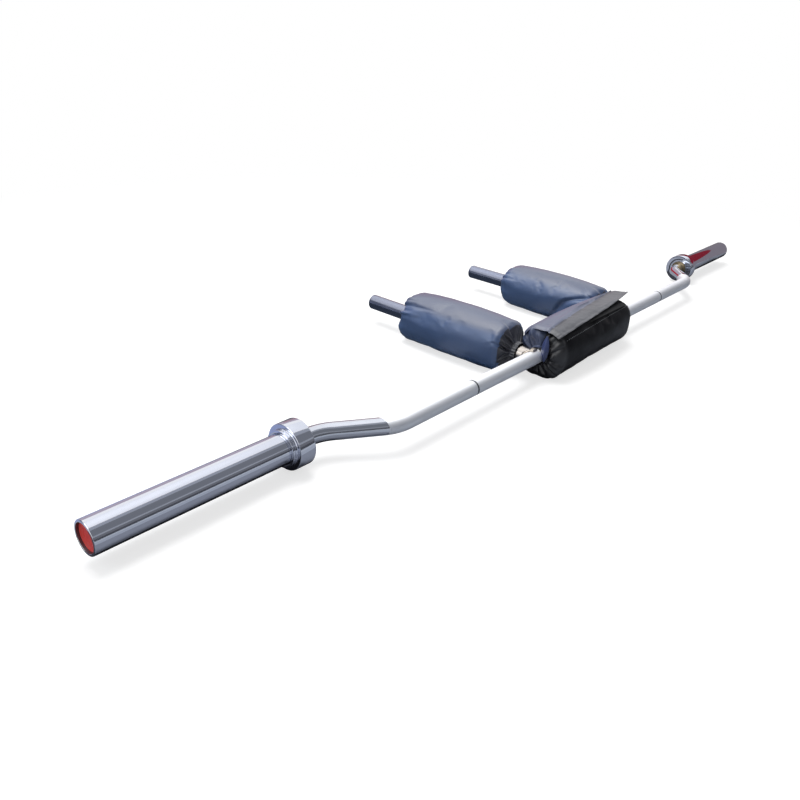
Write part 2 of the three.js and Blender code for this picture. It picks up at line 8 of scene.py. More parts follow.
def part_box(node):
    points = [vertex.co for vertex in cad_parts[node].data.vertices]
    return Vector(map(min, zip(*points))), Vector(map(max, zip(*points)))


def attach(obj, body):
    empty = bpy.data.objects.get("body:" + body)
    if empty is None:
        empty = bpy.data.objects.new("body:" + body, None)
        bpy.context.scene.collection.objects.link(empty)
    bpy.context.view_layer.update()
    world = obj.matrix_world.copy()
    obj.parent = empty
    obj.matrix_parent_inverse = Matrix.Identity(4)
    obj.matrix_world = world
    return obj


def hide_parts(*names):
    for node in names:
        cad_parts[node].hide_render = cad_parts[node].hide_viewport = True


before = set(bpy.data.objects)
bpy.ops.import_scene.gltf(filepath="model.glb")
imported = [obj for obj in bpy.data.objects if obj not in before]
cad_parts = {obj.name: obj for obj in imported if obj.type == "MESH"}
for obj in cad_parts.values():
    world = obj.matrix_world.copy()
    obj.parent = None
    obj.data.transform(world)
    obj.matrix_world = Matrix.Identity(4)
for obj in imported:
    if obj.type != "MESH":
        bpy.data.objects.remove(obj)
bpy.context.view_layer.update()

# Safety squat bar, in metres. X runs along the bar, +Y is behind the neck, the handles point to -Y.
# Places and outer sizes come from the frame. These are the sizes that it doesn't give.

MM = 0.001

SHAFT_RADIUS = 15 * MM
SPINDLE_RADIUS = 12.5 * MM
BEND_RADIUS = 75 * MM
CAMBER_RUN = 103 * MM
BEND_TO_SLEEVE = 38 * MM
RING_MARK_SPACING = 810 * MM
RING_MARK_WIDTH = 4 * MM
RING_MARK_DEPTH = 1 * MM
# A short ring of faces beside a corner keeps the shading of the long tube next to it straight.
STRAIGHT_EDGE = 1.5 * MM
SATIN_PAST_BEND = 21 * MM
WASHER_SPACE = 0.4 * MM
SHOULDER_CHAMFER = 0.6 * MM
SNAP_GROOVE_DEPTH = 0.9 * MM
TIP_CHAMFER = 1.5 * MM

BUSH_WALL = 4.5 * MM
SLEEVE_LAND_RADIUS = 15.5 * MM
BUSH_LENGTH = 50 * MM
BUSH_FLANGE = 3 * MM
COLLAR_FLANGE = 31 * MM
STEP_RING_RADIUS = 30.5 * MM
STEP_GROOVE = 1.6 * MM
STEP_GROOVE_DEPTH = 1.2 * MM
CAP_RECESS = 5 * MM
CAP_FACE = 3 * MM
CAP_SKIRT = 6 * MM
CAP_WALL = 1.8 * MM
CAP_SUNK = 0.5 * MM
MOUTH_CHAMFER = 0.5 * MM
RIM_ROUNDING = 1.8 * MM

ARM_RADIUS = 16.7 * MM
ARM_WALL = 3 * MM
WELD_RADIUS = 3.4 * MM
WELD_RIPPLES = 30
PLUG_SPIGOT = 18 * MM
PLUG_ROUNDING = 2.5 * MM

COVER_THICKNESS = 1.4 * MM
END_ROUNDING = 24 * MM
END_DISH = 9 * MM
HEM_STANDS_OUT = 12 * MM
SHOULDER_LENGTH = 270 * MM
NECK_LENGTH = 352 * MM
HEM_LENGTH = 8 * MM
HEM_CORD_RADIUS = 1.5 * MM
FLAP_THICKNESS = 1.6 * MM
FLAP_LIFT = 5.7 * MM
FLAP_SEAM_LIFT = 1.6 * MM
# The flap's left end bends down over the end of the pad with this radius.
FLAP_END_BEND = 17 * MM
TAPE_THICKNESS = 1.2 * MM
TUCK_HALF_WIDTH = 9 * MM
TUCK_THICKNESS = 1.2 * MM
SHOULDER_POWER = 0.66
NECK_POWER = 0.70
REST_FLAT = 0.5 * MM
CROWN_SHARE = 0.07

CLEARANCE = 0.3 * MM
FABRIC_CLEARANCE = 0.5 * MM
FOAM_GAP = 5 * MM
FOAM_CORNER = 5 * MM
STITCH_RADIUS = 0.6 * MM
STITCH_PITCH = 6.5 * MM
# Half a stitch, as a share of the pitch, and how far its ends stand off the cover.
STITCH_REACH = 0.32
STITCH_LIFT = 0.15 * MM
SEAM_LENGTH = NECK_LENGTH - 56 * MM
STITCHES_BELOW_SEAM = 3.2
# How uneven a cover is between its folds, and how far past its hem the cloth is held.
UNEVENNESS = 0.7 * MM
HELD_PAST_HEM = 3 * MM
# A fold has this share of its depth at the hem, and all of it within the onset.
HEM_SHARE = 0.4
FOLD_ONSET = 14 * MM

CLOTH_PRESSURE = 4.0
CLOTH_SPARE = -0.008
CLOTH_FRAMES = 14
# The most that the stuffing may push a cover out.
MOST_SWELL = 4 * MM

TURNED_STEPS = 128
ROUND_SIDES = 96
SMALL_STEPS = 64
ARC_STEPS = 4
BEND_STEPS = 28
PAD_SIDES = 132
BODY_ROWS = 26
RIM_ROWS = 9
FACE_ROWS = 10
HEM_ROWS = 3
FOAM_SIDES = 64

X = Vector((1, 0, 0))
Y = Vector((0, 1, 0))
Z = Vector((0, 0, 1))
LIE_ALONG_X = (0, math.pi / 2, 0)
LIE_ALONG_Y = (math.pi / 2, 0, 0)

shaft_low, shaft_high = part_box("main_shaft")
SHAFT_Y = shaft_high.y - SHAFT_RADIUS
SHAFT_Z = shaft_high.z - SHAFT_RADIUS
sleeve_low, sleeve_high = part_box("left_sleeve_tube")
SLEEVE_START = sleeve_low.x
SLEEVE_END = sleeve_high.x
SLEEVE_RADIUS = (sleeve_high.z - sleeve_low.z) / 2
SLEEVE_Y = (sleeve_low.y + sleeve_high.y) / 2
SLEEVE_Z = (sleeve_low.z + sleeve_high.z) / 2
cap_low, cap_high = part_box("left_end_cap")
CAP_BORE = (cap_high.z - cap_low.z) / 2 + CLEARANCE
flap_low, flap_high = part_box("neck_flap")
FLAP_LENGTH = (flap_high - flap_low).x

# Where the colours of a piece change along its own axes.
COLOUR_EDGE = 0.4 * MM
# Past this the shoulder pads' gathered ends by the shaft are painted near-black: painted shade where they
# face away from the light.
END_SHADE_FROM = 137 * MM
GROUND_FROM = 160 * MM
# From here up the shoulder pads' tops are painted greyer and less blue: a painted sheen where the light
# falls on them.
TOP_SHEEN_FROM = 82 * MM
TOP_SHEEN_FULL = 99 * MM
CREASE_Y = SHAFT_Y - 3 * MM
CREASE_LEAN = 0.105


# Camera

CAMERA_PLACE = Vector((1.4105, 0.8459, 0.6104))
CAMERA_AZIMUTH = math.radians(129.13)
CAMERA_ELEVATION = math.radians(26.55)
CAMERA_ROLL = math.radians(4.0)
FOCAL_PIXELS = 727.7
FRAME_PIXELS = 800
SENSOR_MM = 36


def add_camera():
    a, e, r = CAMERA_AZIMUTH, CAMERA_ELEVATION, CAMERA_ROLL
    back = Vector((math.sin(a) * math.cos(e), -math.cos(a) * math.cos(e), math.sin(e)))
    level = Z.cross(back).normalized()
    upright = back.cross(level)
    right = level * math.cos(r) + upright * math.sin(r)
    up = upright * math.cos(r) - level * math.sin(r)
    data = bpy.data.cameras.new("photo_camera")
    data.sensor_width = SENSOR_MM
    data.lens = FOCAL_PIXELS / FRAME_PIXELS * SENSOR_MM
    data.clip_start = 0.01
    data.clip_end = 100
    camera = bpy.data.objects.new("photo_camera", data)
    camera.matrix_world = Matrix.Translation(CAMERA_PLACE) @ Matrix((right, up, back)).transposed().to_4x4()
    bpy.context.scene.collection.objects.link(camera)
    bpy.context.scene.camera = camera


# Modelling helpers


def clear_selection():
    bpy.ops.object.select_all(action="DESELECT")


def select_only(piece):
    clear_selection()
    piece.select_set(True)
    bpy.context.view_layer.objects.active = piece


def close_piece():
    """Merges doubles, turns the faces outwards and leaves edit mode."""
    bpy.ops.mesh.select_all(action="SELECT")
    bpy.ops.mesh.remove_doubles(threshold=0.002 * MM)
    bpy.ops.mesh.normals_make_consistent(inside=False)
    bpy.ops.object.mode_set(mode="OBJECT")


def mend(piece):
    """Merges a piece's doubles and turns its faces outwards."""
    select_only(piece)
    bpy.ops.object.mode_set(mode="EDIT")
    close_piece()


def settle(piece):
    """Puts the piece's place, turn and size into its mesh."""
    select_only(piece)
    bpy.ops.object.transform_apply(location=True, rotation=True, scale=True)


def take_piece(name):
    """Names the primitive that was just added, and settles it."""
    piece = bpy.context.object
    piece.name = name
    settle(piece)
    return piece


def apply_modifier(piece, kind, **settings):
    modifier = piece.modifiers.new(kind.lower(), kind)
    for key, value in settings.items():
        setattr(modifier, key, value)
    select_only(piece)
    bpy.ops.object.modifier_apply(modifier=modifier.name)


def round_edges(piece, width, segments=3):
    sharp = math.radians(30)
    apply_modifier(piece, "BEVEL", width=width, segments=segments, limit_method="ANGLE", angle_limit=sharp)


def smooth(piece, angle=35):
    select_only(piece)
    bpy.ops.object.shade_smooth_by_angle(angle=math.radians(angle))


def turned(name, profile, centre, axis=X, steps=TURNED_STEPS, edge=0.0):
    """A round piece: a profile of (place along the axis, radius) pairs spun about a line."""
    clear_selection()
    corner = centre + axis * profile[0][0] + Z * profile[0][1]
    bpy.ops.mesh.primitive_plane_add(size=MM, location=corner)
    piece = bpy.context.object
    piece.name = name
    bpy.ops.object.mode_set(mode="EDIT")
    bpy.ops.mesh.select_all(action="SELECT")
    bpy.ops.mesh.merge(type="CENTER")
    for (along, radius), (next_along, next_radius) in zip(profile, profile[1:]):
        step = axis * (next_along - along) + Z * (next_radius - radius)
        bpy.ops.mesh.extrude_vertices_move(TRANSFORM_OT_translate={"value": step})
    bpy.ops.mesh.select_all(action="SELECT")
    bpy.ops.mesh.spin(steps=steps, angle=2 * math.pi, center=centre, axis=axis)
    close_piece()
    settle(piece)
    if edge:
        round_edges(piece, edge)
    smooth(piece)
    return piece


def ring_profile(*corners):
    """Closes a hollow piece's profile."""
    return [*corners, corners[0]]


def cut_away(piece, place, radius, rotation, length):
    """Cuts a round seat through a piece."""
    clear_selection()
    bpy.ops.mesh.primitive_cylinder_add(
        vertices=ROUND_SIDES, radius=radius, depth=length, location=place, rotation=rotation
    )
    cutter = take_piece("cutter")
    apply_modifier(piece, "BOOLEAN", operation="DIFFERENCE", object=cutter, solver="EXACT")
    bpy.data.objects.remove(cutter)


def copy_of(piece, name, matrix):
    """A copy with its own mesh, placed by a matrix."""
    twin = piece.copy()
    twin.data = piece.data.copy()
    twin.name = name
    twin.data.transform(matrix)
    bpy.context.scene.collection.objects.link(twin)
    return twin


def mirrored(piece, name):
    twin = copy_of(piece, name, Matrix.Scale(-1, 4, X))
    twin.data.flip_normals()
    return twin


def dress(piece, material, body, slot, *nodes):
    """Gives a piece its finish, the body that it rides on, and any CAD nodes that it stands for."""
    piece.data.materials.clear()
    piece.data.materials.append(material)
    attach(piece, body)
    if nodes:
        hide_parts(*nodes)


# Materials


def shader_tree(name):
    material = bpy.data.materials.new(name)
    material.use_nodes = True
    tree = material.node_tree
    return material, tree, tree.nodes["Principled BSDF"]


def feed(tree, socket, value):
    """Gives an input a value, or links it to the output socket that feeds it."""
    if isinstance(value, bpy.types.NodeSocket):
        tree.links.new(value, socket)
    else:
        socket.default_value = value


def feed_node(tree, node, **inputs):
    """Feeds a node's inputs by their names, with a low line for each space."""
    for key, value in inputs.items():
        feed(tree, node.inputs[key.replace("_", " ")], value)


def add_node(tree, kind, settings=None, **inputs):
    node = tree.nodes.new(kind)
    for key, value in (settings or {}).items():
        setattr(node, key, value)
    feed_node(tree, node, **inputs)
    return node


def compute(tree, operation, *values, kind="ShaderNodeMath", output="Value"):
    """The result of a math node whose inputs are sockets or plain numbers."""
    node = add_node(tree, kind, {"operation": operation})
    for socket, value in zip(node.inputs, values):
        feed(tree, socket, value)
    return node.outputs[output]


def mix_colours(tree, share, *colours):
    """Mixes two colours by a share that varies over the surface."""
    node = add_node(tree, "ShaderNodeMix", {"data_type": "RGBA"})
    tree.links.new(share, node.inputs[0])
    for socket, colour in zip((node.inputs[6], node.inputs[7]), colours):
        feed(tree, socket, colour if isinstance(colour, bpy.types.NodeSocket) else (*colour, 1))
    return node.outputs[2]


def ramp_between(tree, value, low, high, to_low=0.0, to_high=1.0):
    """Turns a value that goes from low to high into one that goes softly from to_low to to_high."""
    node = add_node(tree, "ShaderNodeMapRange", {"interpolation_type": "SMOOTHSTEP"}, Value=value)
    feed_node(tree, node, From_Min=low, From_Max=high, To_Min=to_low, To_Max=to_high)
    return node.outputs[0]


def own_place(tree):
    """The object's own coordinates."""
    return tree.nodes.new("ShaderNodeTexCoord").outputs["Object"]


def place_parts(tree):
    """The object's own X, Y and Z at each point of its surface."""
    return add_node(tree, "ShaderNodeSeparateXYZ", None, Vector=own_place(tree)).outputs


def clouds(tree, place, **inputs):
    """A soft random pattern over the surface."""
    return add_node(tree, "ShaderNodeTexNoise", None, Vector=place, **inputs).outputs["Fac"]


def new_group(name, inputs, outputs):
    """A shader node group with float inputs as name and default, and named outputs."""
    group = bpy.data.node_groups.new(name, "ShaderNodeTree")
    for label, default in inputs:
        socket = group.interface.new_socket(label, in_out="INPUT", socket_type="NodeSocketFloat")
        socket.default_value = default
    for label in outputs:
        group.interface.new_socket(label, in_out="OUTPUT", socket_type="NodeSocketFloat")
    return group, group.nodes.new("NodeGroupInput"), group.nodes.new("NodeGroupOutput")


def wear_group():
    """Fine handling marks: hairline scratches, cloudy haze and slight waviness."""
    group, entry, leave = new_group(
        "handling_marks", [("Scratch Scale", 60.0), ("Haze Scale", 9.0)], ["Scratches", "Haze", "Waves"]
    )
    place = own_place(group)
    stretched = add_node(group, "ShaderNodeMapping", None, Vector=place, Scale=(1.0, 9.0, 9.0)).outputs[0]
    lines = clouds(group, stretched, Scale=entry.outputs["Scratch Scale"], Detail=6.0, Roughness=0.75)
    haze = clouds(group, place, Scale=entry.outputs["Haze Scale"], Detail=4.0)
    waves = clouds(group, place, Scale=22.0, Detail=1.0)
    feed_node(group, leave, Scratches=ramp_between(group, lines, 0.56, 0.74), Haze=haze, Waves=waves)
    return group


def vinyl_group():
    """Coated fabric: a pebbled grain, soft stains and small creases."""
    group, entry, leave = new_group(
        "vinyl_grain", [("Grain Scale", 900.0), ("Crease Scale", 26.0)], ["Grain", "Stains", "Creases"]
    )
    place = own_place(group)
    cells = add_node(group, "ShaderNodeTexVoronoi", {"feature": "SMOOTH_F1"}, Vector=place)
    feed_node(group, cells, Scale=entry.outputs["Grain Scale"])
    stains = clouds(group, place, Scale=14.0, Detail=5.0, Roughness=0.6)
    warped = clouds(
        group, place, Scale=entry.outputs["Crease Scale"], Detail=3.0, Roughness=0.5, Distortion=0.9
    )
    feed_node(group, leave, Grain=cells.outputs["Distance"], Stains=stains, Creases=warped)
    return group


WEAR = wear_group()
VINYL = vinyl_group()


def new_finish(name, group, **inputs):
    """A fresh material, its node tree, its shader, and the marks that the group puts out in it."""
    material, tree, shader = shader_tree(name)
    marks = add_node(tree, "ShaderNodeGroup", {"node_tree": group}, **inputs)
    return material, tree, shader, marks.outputs


def bumped(tree, shader, height, distance, strength=1.0, under=None):
    """Raises the surface by a height, over the normal of the bump that lies under it."""
    node = add_node(tree, "ShaderNodeBump", None, Height=height, Distance=distance, Strength=strength)
    if under is not None:
        feed_node(tree, node, Normal=under)
    feed_node(tree, shader, Normal=node.outputs["Normal"])
    return node.outputs["Normal"]


def finish_metal(tree, shader, marks, tint, roughness, scratched, waviness=0.02 * MM):
    """Metal over a colour, roughened by its scratches and slightly wavy."""
    rough = compute(tree, "MULTIPLY_ADD", marks["Scratches"], scratched, roughness)
    feed_node(tree, shader, Metallic=1.0, Base_Color=tint, Roughness=rough)
    wavy = bumped(tree, shader, marks["Waves"], waviness)
    bumped(tree, shader, marks["Scratches"], 0.004 * MM, 0.5, wavy)


def metal(name, colour, stain, roughness, waviness=0.02 * MM):
    """A bare or plated metal with handling marks."""
    material, tree, shader, marks = new_finish(name, WEAR)
    tint = mix_colours(tree, marks["Haze"], colour, stain)
    hazed = ramp_between(tree, marks["Haze"], 0.3, 0.75, roughness, roughness * 1.3)
    finish_metal(tree, shader, marks, tint, hazed, roughness * 0.7, waviness)
    return material


def shade_sleeve_mouths(material):
    """Paints the inside of the sleeves' ends dark and rougher: painted shade in the mouth in front of the
    cap.
    """
    tree = material.node_tree
    shader = tree.nodes["Principled BSDF"]
    kind = "ShaderNodeVectorMath"
    from_line = (0, -SLEEVE_Y, -SLEEVE_Z)
    flat = compute(tree, "MULTIPLY_ADD", own_place(tree), (0, 1, 1), from_line, kind=kind, output="Vector")
    away = compute(tree, "LENGTH", flat, kind=kind)
    inside = ramp_between(tree, away, CAP_BORE + 0.1 * MM, CAP_BORE + 0.4 * MM, 1.0, 0.0)
    colour, polish = (shader.inputs[key].links[0].from_socket for key in ("Base Color", "Roughness"))
    tint = mix_colours(tree, inside, colour, (0.20, 0.21, 0.23))
    feed_node(tree, shader, Base_Color=tint, Roughness=compute(tree, "MULTIPLY_ADD", inside, 0.35, polish))
    return material


def shaft_metal():
    """Satin in the middle of the bar and polished past its bends, with a sharp edge between."""
    material, tree, shader, marks = new_finish("shaft_steel", WEAR, Scratch_Scale=90.0)
    along = compute(tree, "ABSOLUTE", place_parts(tree)["X"])
    edge = SLEEVE_START - BEND_TO_SLEEVE - CAMBER_RUN + SATIN_PAST_BEND
    polished = ramp_between(tree, along, edge - COLOUR_EDGE, edge + COLOUR_EDGE)
    satin = mix_colours(tree, marks["Haze"], (0.95, 0.955, 0.97), (0.88, 0.885, 0.90))
    clean = mix_colours(tree, polished, satin, (0.76, 0.78, 0.83))
    # Painted shade: the ring-mark groove is painted dark, standing in for the shade that falls in it.
    groove_shade = compute(tree, "COMPARE", along, RING_MARK_SPACING / 2, RING_MARK_WIDTH / 2 + 0.1 * MM)
    tint = mix_colours(tree, groove_shade, clean, (0.16, 0.16, 0.18))
    finish_metal(tree, shader, marks, tint, ramp_between(tree, polished, 0.0, 1.0, 0.60, 0.09), 0.06)
    return material


def handle_metal():
    """Dark satin plating on the arms, ground bright next to the weld, with its heat tint."""
    material, tree, shader, marks = new_finish("handle_metal", WEAR)
    dark = mix_colours(tree, marks["Haze"], (0.38, 0.41, 0.52), (0.30, 0.32, 0.41))
    warm = ramp_between(tree, marks["Waves"], 0.45, 0.7)
    bright = mix_colours(tree, warm, (0.86, 0.85, 0.84), (0.64, 0.58, 0.52))
    ground = ramp_between(tree, place_parts(tree)["Y"], GROUND_FROM - 1 * MM, GROUND_FROM + 3 * MM)
    rough = ramp_between(tree, marks["Haze"], 0.3, 0.75, 0.16, 0.24)
    tint = mix_colours(tree, ground, dark, bright)
    feed_node(tree, shader, Metallic=1.0, Base_Color=tint, Roughness=rough)
    bumped(tree, shader, marks["Scratches"], 0.006 * MM, 0.6)
    return material


def finish_vinyl(tree, shader, marks, tint, roughness, coat, crease_depth=0.5 * MM, gloss=0.5):
    """Coated fabric over a colour: a dull sheen, creases and grain."""
    rough = ramp_between(tree, marks["Stains"], 0.3, 0.7, roughness - 0.05, roughness + 0.06)
    feed_node(tree, shader, Base_Color=tint, Roughness=rough, Specular_IOR_Level=gloss)
    feed_node(tree, shader, Coat_Weight=coat, Coat_Roughness=0.36)
    creased = bumped(tree, shader, marks["Creases"], crease_depth)
    bumped(tree, shader, marks["Grain"], 0.06 * MM, 0.6, creased)


def shoulder_vinyl():
    """Blue vinyl, painted near-black and less coated at the gathered end by the shaft as painted shade, and
    painted greyer on its tops as a painted sheen.
    """
    material, tree, shader, marks = new_finish("shoulder_vinyl", VINYL)
    clean = mix_colours(tree, marks["Stains"], (0.037, 0.086, 0.214), (0.029, 0.071, 0.180))
    # Painted sheen: a greyer, less blue tint for the tops.
    top_sheen = mix_colours(tree, marks["Stains"], (0.054, 0.076, 0.148), (0.045, 0.065, 0.128))
    black = mix_colours(tree, marks["Stains"], (0.011, 0.012, 0.020), (0.018, 0.019, 0.030))
    parts = place_parts(tree)
    blue = mix_colours(tree, ramp_between(tree, parts["Z"], TOP_SHEEN_FROM, TOP_SHEEN_FULL), clean, top_sheen)
    # Painted shade: the gathered end by the shaft is painted near-black and given less coat.
    end_shade = ramp_between(tree, parts["Y"], END_SHADE_FROM - COLOUR_EDGE, END_SHADE_FROM + COLOUR_EDGE)
    coat = ramp_between(tree, end_shade, 0.0, 1.0, 0.92, 0.55)
    finish_vinyl(tree, shader, marks, mix_colours(tree, end_shade, blue, black), 0.46, coat, gloss=0.75)
    return material


def neck_vinyl():
    """Black vinyl; its gathered left end is painted blue high up at the back as painted light, and left
    black below and in front as painted shade.
    """
    material, tree, shader, marks = new_finish("neck_vinyl", VINYL)
    black = mix_colours(tree, marks["Stains"], (0.003, 0.003, 0.0045), (0.006, 0.0055, 0.007))
    blue = mix_colours(tree, marks["Stains"], (0.055, 0.078, 0.155), (0.035, 0.05, 0.11))
    parts = place_parts(tree)
    # Painted light and shade: blue only where the light falls on the end, high at the back; black in front,
    # below and in the hollow under the flap.
    end = ramp_between(tree, parts["X"], NECK_LENGTH / 2 - 34 * MM, NECK_LENGTH / 2 - 3 * MM)
    back = ramp_between(tree, parts["Y"], SHAFT_Y + 1 * MM, SHAFT_Y + 5 * MM, 1.0, 0.0)
    high = ramp_between(tree, parts["Z"], SHAFT_Z + 4 * MM, SHAFT_Z + 14 * MM)
    corner = compute(tree, "MULTIPLY", end, compute(tree, "MULTIPLY", back, high))
    gloss = ramp_between(tree, end, 0.0, 1.0, 0.14, 0.9)
    finish_vinyl(tree, shader, marks, mix_colours(tree, corner, black, blue), 0.42, 0.0, gloss=gloss)
    return material


def tuck_vinyl():
    """Deep blue vinyl, darker and more violet than the pads'."""
    material, tree, shader, marks = new_finish("tuck_vinyl", VINYL)
    tint = mix_colours(tree, marks["Stains"], (0.035, 0.055, 0.16), (0.028, 0.042, 0.13))
    finish_vinyl(tree, shader, marks, tint, 0.42, 0.5)
    return material


def flap_vinyl():
    """Blue vinyl behind the crease, and darker grey vinyl on the free strip in front of it, partly from wear
    and partly as painted shade.
    """
    material, tree, shader, marks = new_finish("flap_vinyl", VINYL, Crease_Scale=45.0)
    clean = mix_colours(tree, marks["Stains"], (0.095, 0.108, 0.178), (0.078, 0.090, 0.150))
    # The front strip faces away from the light, so its darker grey is partly painted shade and partly wear.
    dull = mix_colours(tree, marks["Stains"], (0.080, 0.082, 0.096), (0.038, 0.039, 0.047))
    parts = place_parts(tree)
    back = compute(tree, "MULTIPLY_ADD", parts["X"], -CREASE_LEAN, parts["Y"])
    plain = mix_colours(
        tree, ramp_between(tree, back, CREASE_Y - 0.6 * MM, CREASE_Y + 0.6 * MM), clean, dull
    )
    # A dark band in patches just in front of the crease: painted crease shade, partly wear.
    near = ramp_between(tree, back, CREASE_Y - 2 * MM, CREASE_Y - 0.5 * MM)
    past = ramp_between(tree, back, CREASE_Y + 1 * MM, CREASE_Y + 13 * MM, 1.0, 0.0)
    wear_and_shade_patches = ramp_between(tree, marks["Creases"], 0.42, 0.50, 0.0, 0.85)
    dark = compute(tree, "MULTIPLY", compute(tree, "MULTIPLY", near, past), wear_and_shade_patches)
    tint = mix_colours(tree, dark, plain, (0.02, 0.02, 0.03))
    finish_vinyl(tree, shader, marks, tint, 0.5, 0.5, 0.9 * MM, 0.75)
    return material


def plain_plastic(name, colour, roughness, grain=0.03 * MM):
    material, tree, shader, marks = new_finish(name, VINYL, Grain_Scale=1400.0, Crease_Scale=60.0)
    tint = mix_colours(tree, marks["Stains"], colour, tuple(part * 0.82 for part in colour))
    rough = ramp_between(tree, marks["Stains"], 0.3, 0.7, roughness * 0.85, roughness * 1.15)
    feed_node(tree, shader, Base_Color=tint, Roughness=rough)
    bumped(tree, shader, marks["Grain"], grain, 0.5)
    return material


SATIN_STEEL = shaft_metal()
# The sleeve chrome, with painted shade inside the sleeves' mouths.
CHROME = shade_sleeve_mouths(metal("sleeve_chrome", (0.82, 0.84, 0.91), (0.74, 0.76, 0.83), 0.07))
HANDLE_CHROME = handle_metal()
WELD_METAL = metal("weld_metal", (0.72, 0.68, 0.62), (0.50, 0.40, 0.30), 0.24, 0.3 * MM)
BRONZE = metal("bronze", (0.38, 0.30, 0.18), (0.27, 0.20, 0.12), 0.28)
SPRING_STEEL = metal("spring_steel", (0.20, 0.20, 0.22), (0.12, 0.12, 0.13), 0.4)
RED_PLASTIC = plain_plastic("red_plastic", (1.0, 0.085, 0.075), 0.3)
FOAM = plain_plastic("foam", (0.05, 0.052, 0.06), 0.95, 0.4 * MM)
ELASTIC = plain_plastic("elastic", (0.012, 0.012, 0.013), 0.8)
TAPE = plain_plastic("tape", (0.008, 0.008, 0.009), 0.95, 0.3 * MM)
THREAD = plain_plastic("thread", (0.20, 0.22, 0.23), 0.7)
BLUE_VINYL = shoulder_vinyl()
NECK_VINYL = neck_vinyl()
TUCK_VINYL = tuck_vinyl()
FLAP_VINYL = flap_vinyl()


# Main shaft


def bend_loop(corner, before, after):
    """Spins the selected ring round a corner of the route."""
    turn = before.angle(after)
    axis = after.cross(before).normalized()
    inward = (after - before * math.cos(turn)).normalized()
    start = corner - before * BEND_RADIUS * math.tan(turn / 2)
    bpy.ops.mesh.spin(steps=BEND_STEPS, angle=turn, center=start + inward * BEND_RADIUS, axis=axis)


def pull_rings(line, at, rings):
    """Extrudes the selected ring along the bar to each place, and sizes it to each share of its radius."""
    size = 1.0
    for place, share in rings:
        bpy.ops.mesh.extrude_region_move(TRANSFORM_OT_translate={"value": X * (place - at)})
        scale = share / size
        if scale != 1:
            bpy.ops.transform.resize(value=(1, scale, scale), center_override=line + X * place)
        at, size = place, share


def make_shaft():
    """Half the shaft is pulled along its route and mirrored: middle, ring mark, two bends and spindle."""
    middle_line = Vector((0, SHAFT_Y, SHAFT_Z))
    sleeve_line = Vector((0, SLEEVE_Y, SLEEVE_Z))
    second = Vector((SLEEVE_START - BEND_TO_SLEEVE, SLEEVE_Y, SLEEVE_Z))
    first = Vector((second.x - CAMBER_RUN, SHAFT_Y, SHAFT_Z))
    slant = (second - first).normalized()
    lead = BEND_RADIUS * math.tan(X.angle(slant) / 2)
    clear_selection()
    bpy.ops.mesh.primitive_circle_add(
        vertices=ROUND_SIDES, radius=SHAFT_RADIUS, location=middle_line, rotation=LIE_ALONG_X
    )
    shaft = take_piece("shaft_body")
    bpy.ops.object.mode_set(mode="EDIT")
    bpy.ops.mesh.select_all(action="SELECT")
    root = 1 - RING_MARK_DEPTH / SHAFT_RADIUS
    low = RING_MARK_SPACING / 2 - RING_MARK_WIDTH / 2
    high = RING_MARK_SPACING / 2 + RING_MARK_WIDTH / 2
    rings = [(low - STRAIGHT_EDGE, 1), (low, 1), (low, root), (high, root), (high, 1)]
    rings += [(high + STRAIGHT_EDGE, 1), (first.x - lead, 1)]
    pull_rings(middle_line, 0.0, rings)
    bend_loop(first, X, slant)
    bpy.ops.mesh.extrude_region_move(TRANSFORM_OT_translate={"value": second - first - 2 * lead * slant})
    bend_loop(second, slant, X)
    spindle = SPINDLE_RADIUS / SHAFT_RADIUS
    groove = (SPINDLE_RADIUS - SNAP_GROOVE_DEPTH) / SHAFT_RADIUS
    tip = (SPINDLE_RADIUS - TIP_CHAMFER) / SHAFT_RADIUS
    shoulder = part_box("left_inner_bush")[0].x - WASHER_SPACE
    edge = shoulder - SHOULDER_CHAMFER
    snap_low, snap_high = (side.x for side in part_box("left_snap_ring"))
    low, high, end = snap_low - CLEARANCE, snap_high + CLEARANCE, shaft_high.x
    rings = [(edge - STRAIGHT_EDGE, 1), (edge, 1), (shoulder, 1 - SHOULDER_CHAMFER / SHAFT_RADIUS)]
    rings += [(shoulder, spindle), (low, spindle), (low, groove), (high, groove), (high, spindle)]
    rings += [(end - TIP_CHAMFER, spindle), (end, tip)]
    pull_rings(sleeve_line, second.x + lead, rings)
    bpy.ops.mesh.edge_face_add()
    bpy.ops.mesh.inset(thickness=3 * MM)
    bpy.ops.object.mode_set(mode="OBJECT")
    apply_modifier(shaft, "MIRROR", merge_threshold=0.01 * MM)
    mend(shaft)
    round_edges(shaft, 0.25 * MM, 2)
    smooth(shaft)
    dress(shaft, SATIN_STEEL, "bar", "shaft_steel", "main_shaft")


# Sleeves


def arc(centre_along, centre_radius, size, start, end):
    """Points of a round corner in a profile, from one angle to another in degrees."""
    points = []
    for step in range(ARC_STEPS + 1):
        angle = math.radians(start + (end - start) * step / ARC_STEPS)
        points.append((centre_along + size * math.cos(angle), centre_radius + size * math.sin(angle)))
    return points


def tube_profile(bush_low, bush_bore):
    """The sleeve's section: bush seats at both ends, a land between them and the cap's seat."""
    rim = arc(SLEEVE_END - RIM_ROUNDING, SLEEVE_RADIUS - RIM_ROUNDING, RIM_ROUNDING, 90, 0)
    cap_seat = SLEEVE_END - CAP_RECESS - CAP_FACE - CAP_SKIRT
    land_start = SLEEVE_START + BUSH_LENGTH + CLEARANCE
    land_end = bush_low.x - CLEARANCE
    return ring_profile(
        (SLEEVE_START, bush_bore),
        (SLEEVE_START, SLEEVE_RADIUS),
        *rim,
        (SLEEVE_END, CAP_BORE + MOUTH_CHAMFER),
        (SLEEVE_END - MOUTH_CHAMFER, CAP_BORE),
        (cap_seat, CAP_BORE),
        (cap_seat, bush_bore),
        (land_end, bush_bore),
        (land_end, SLEEVE_LAND_RADIUS),
        (land_start, SLEEVE_LAND_RADIUS),
        (land_start, bush_bore),
    )


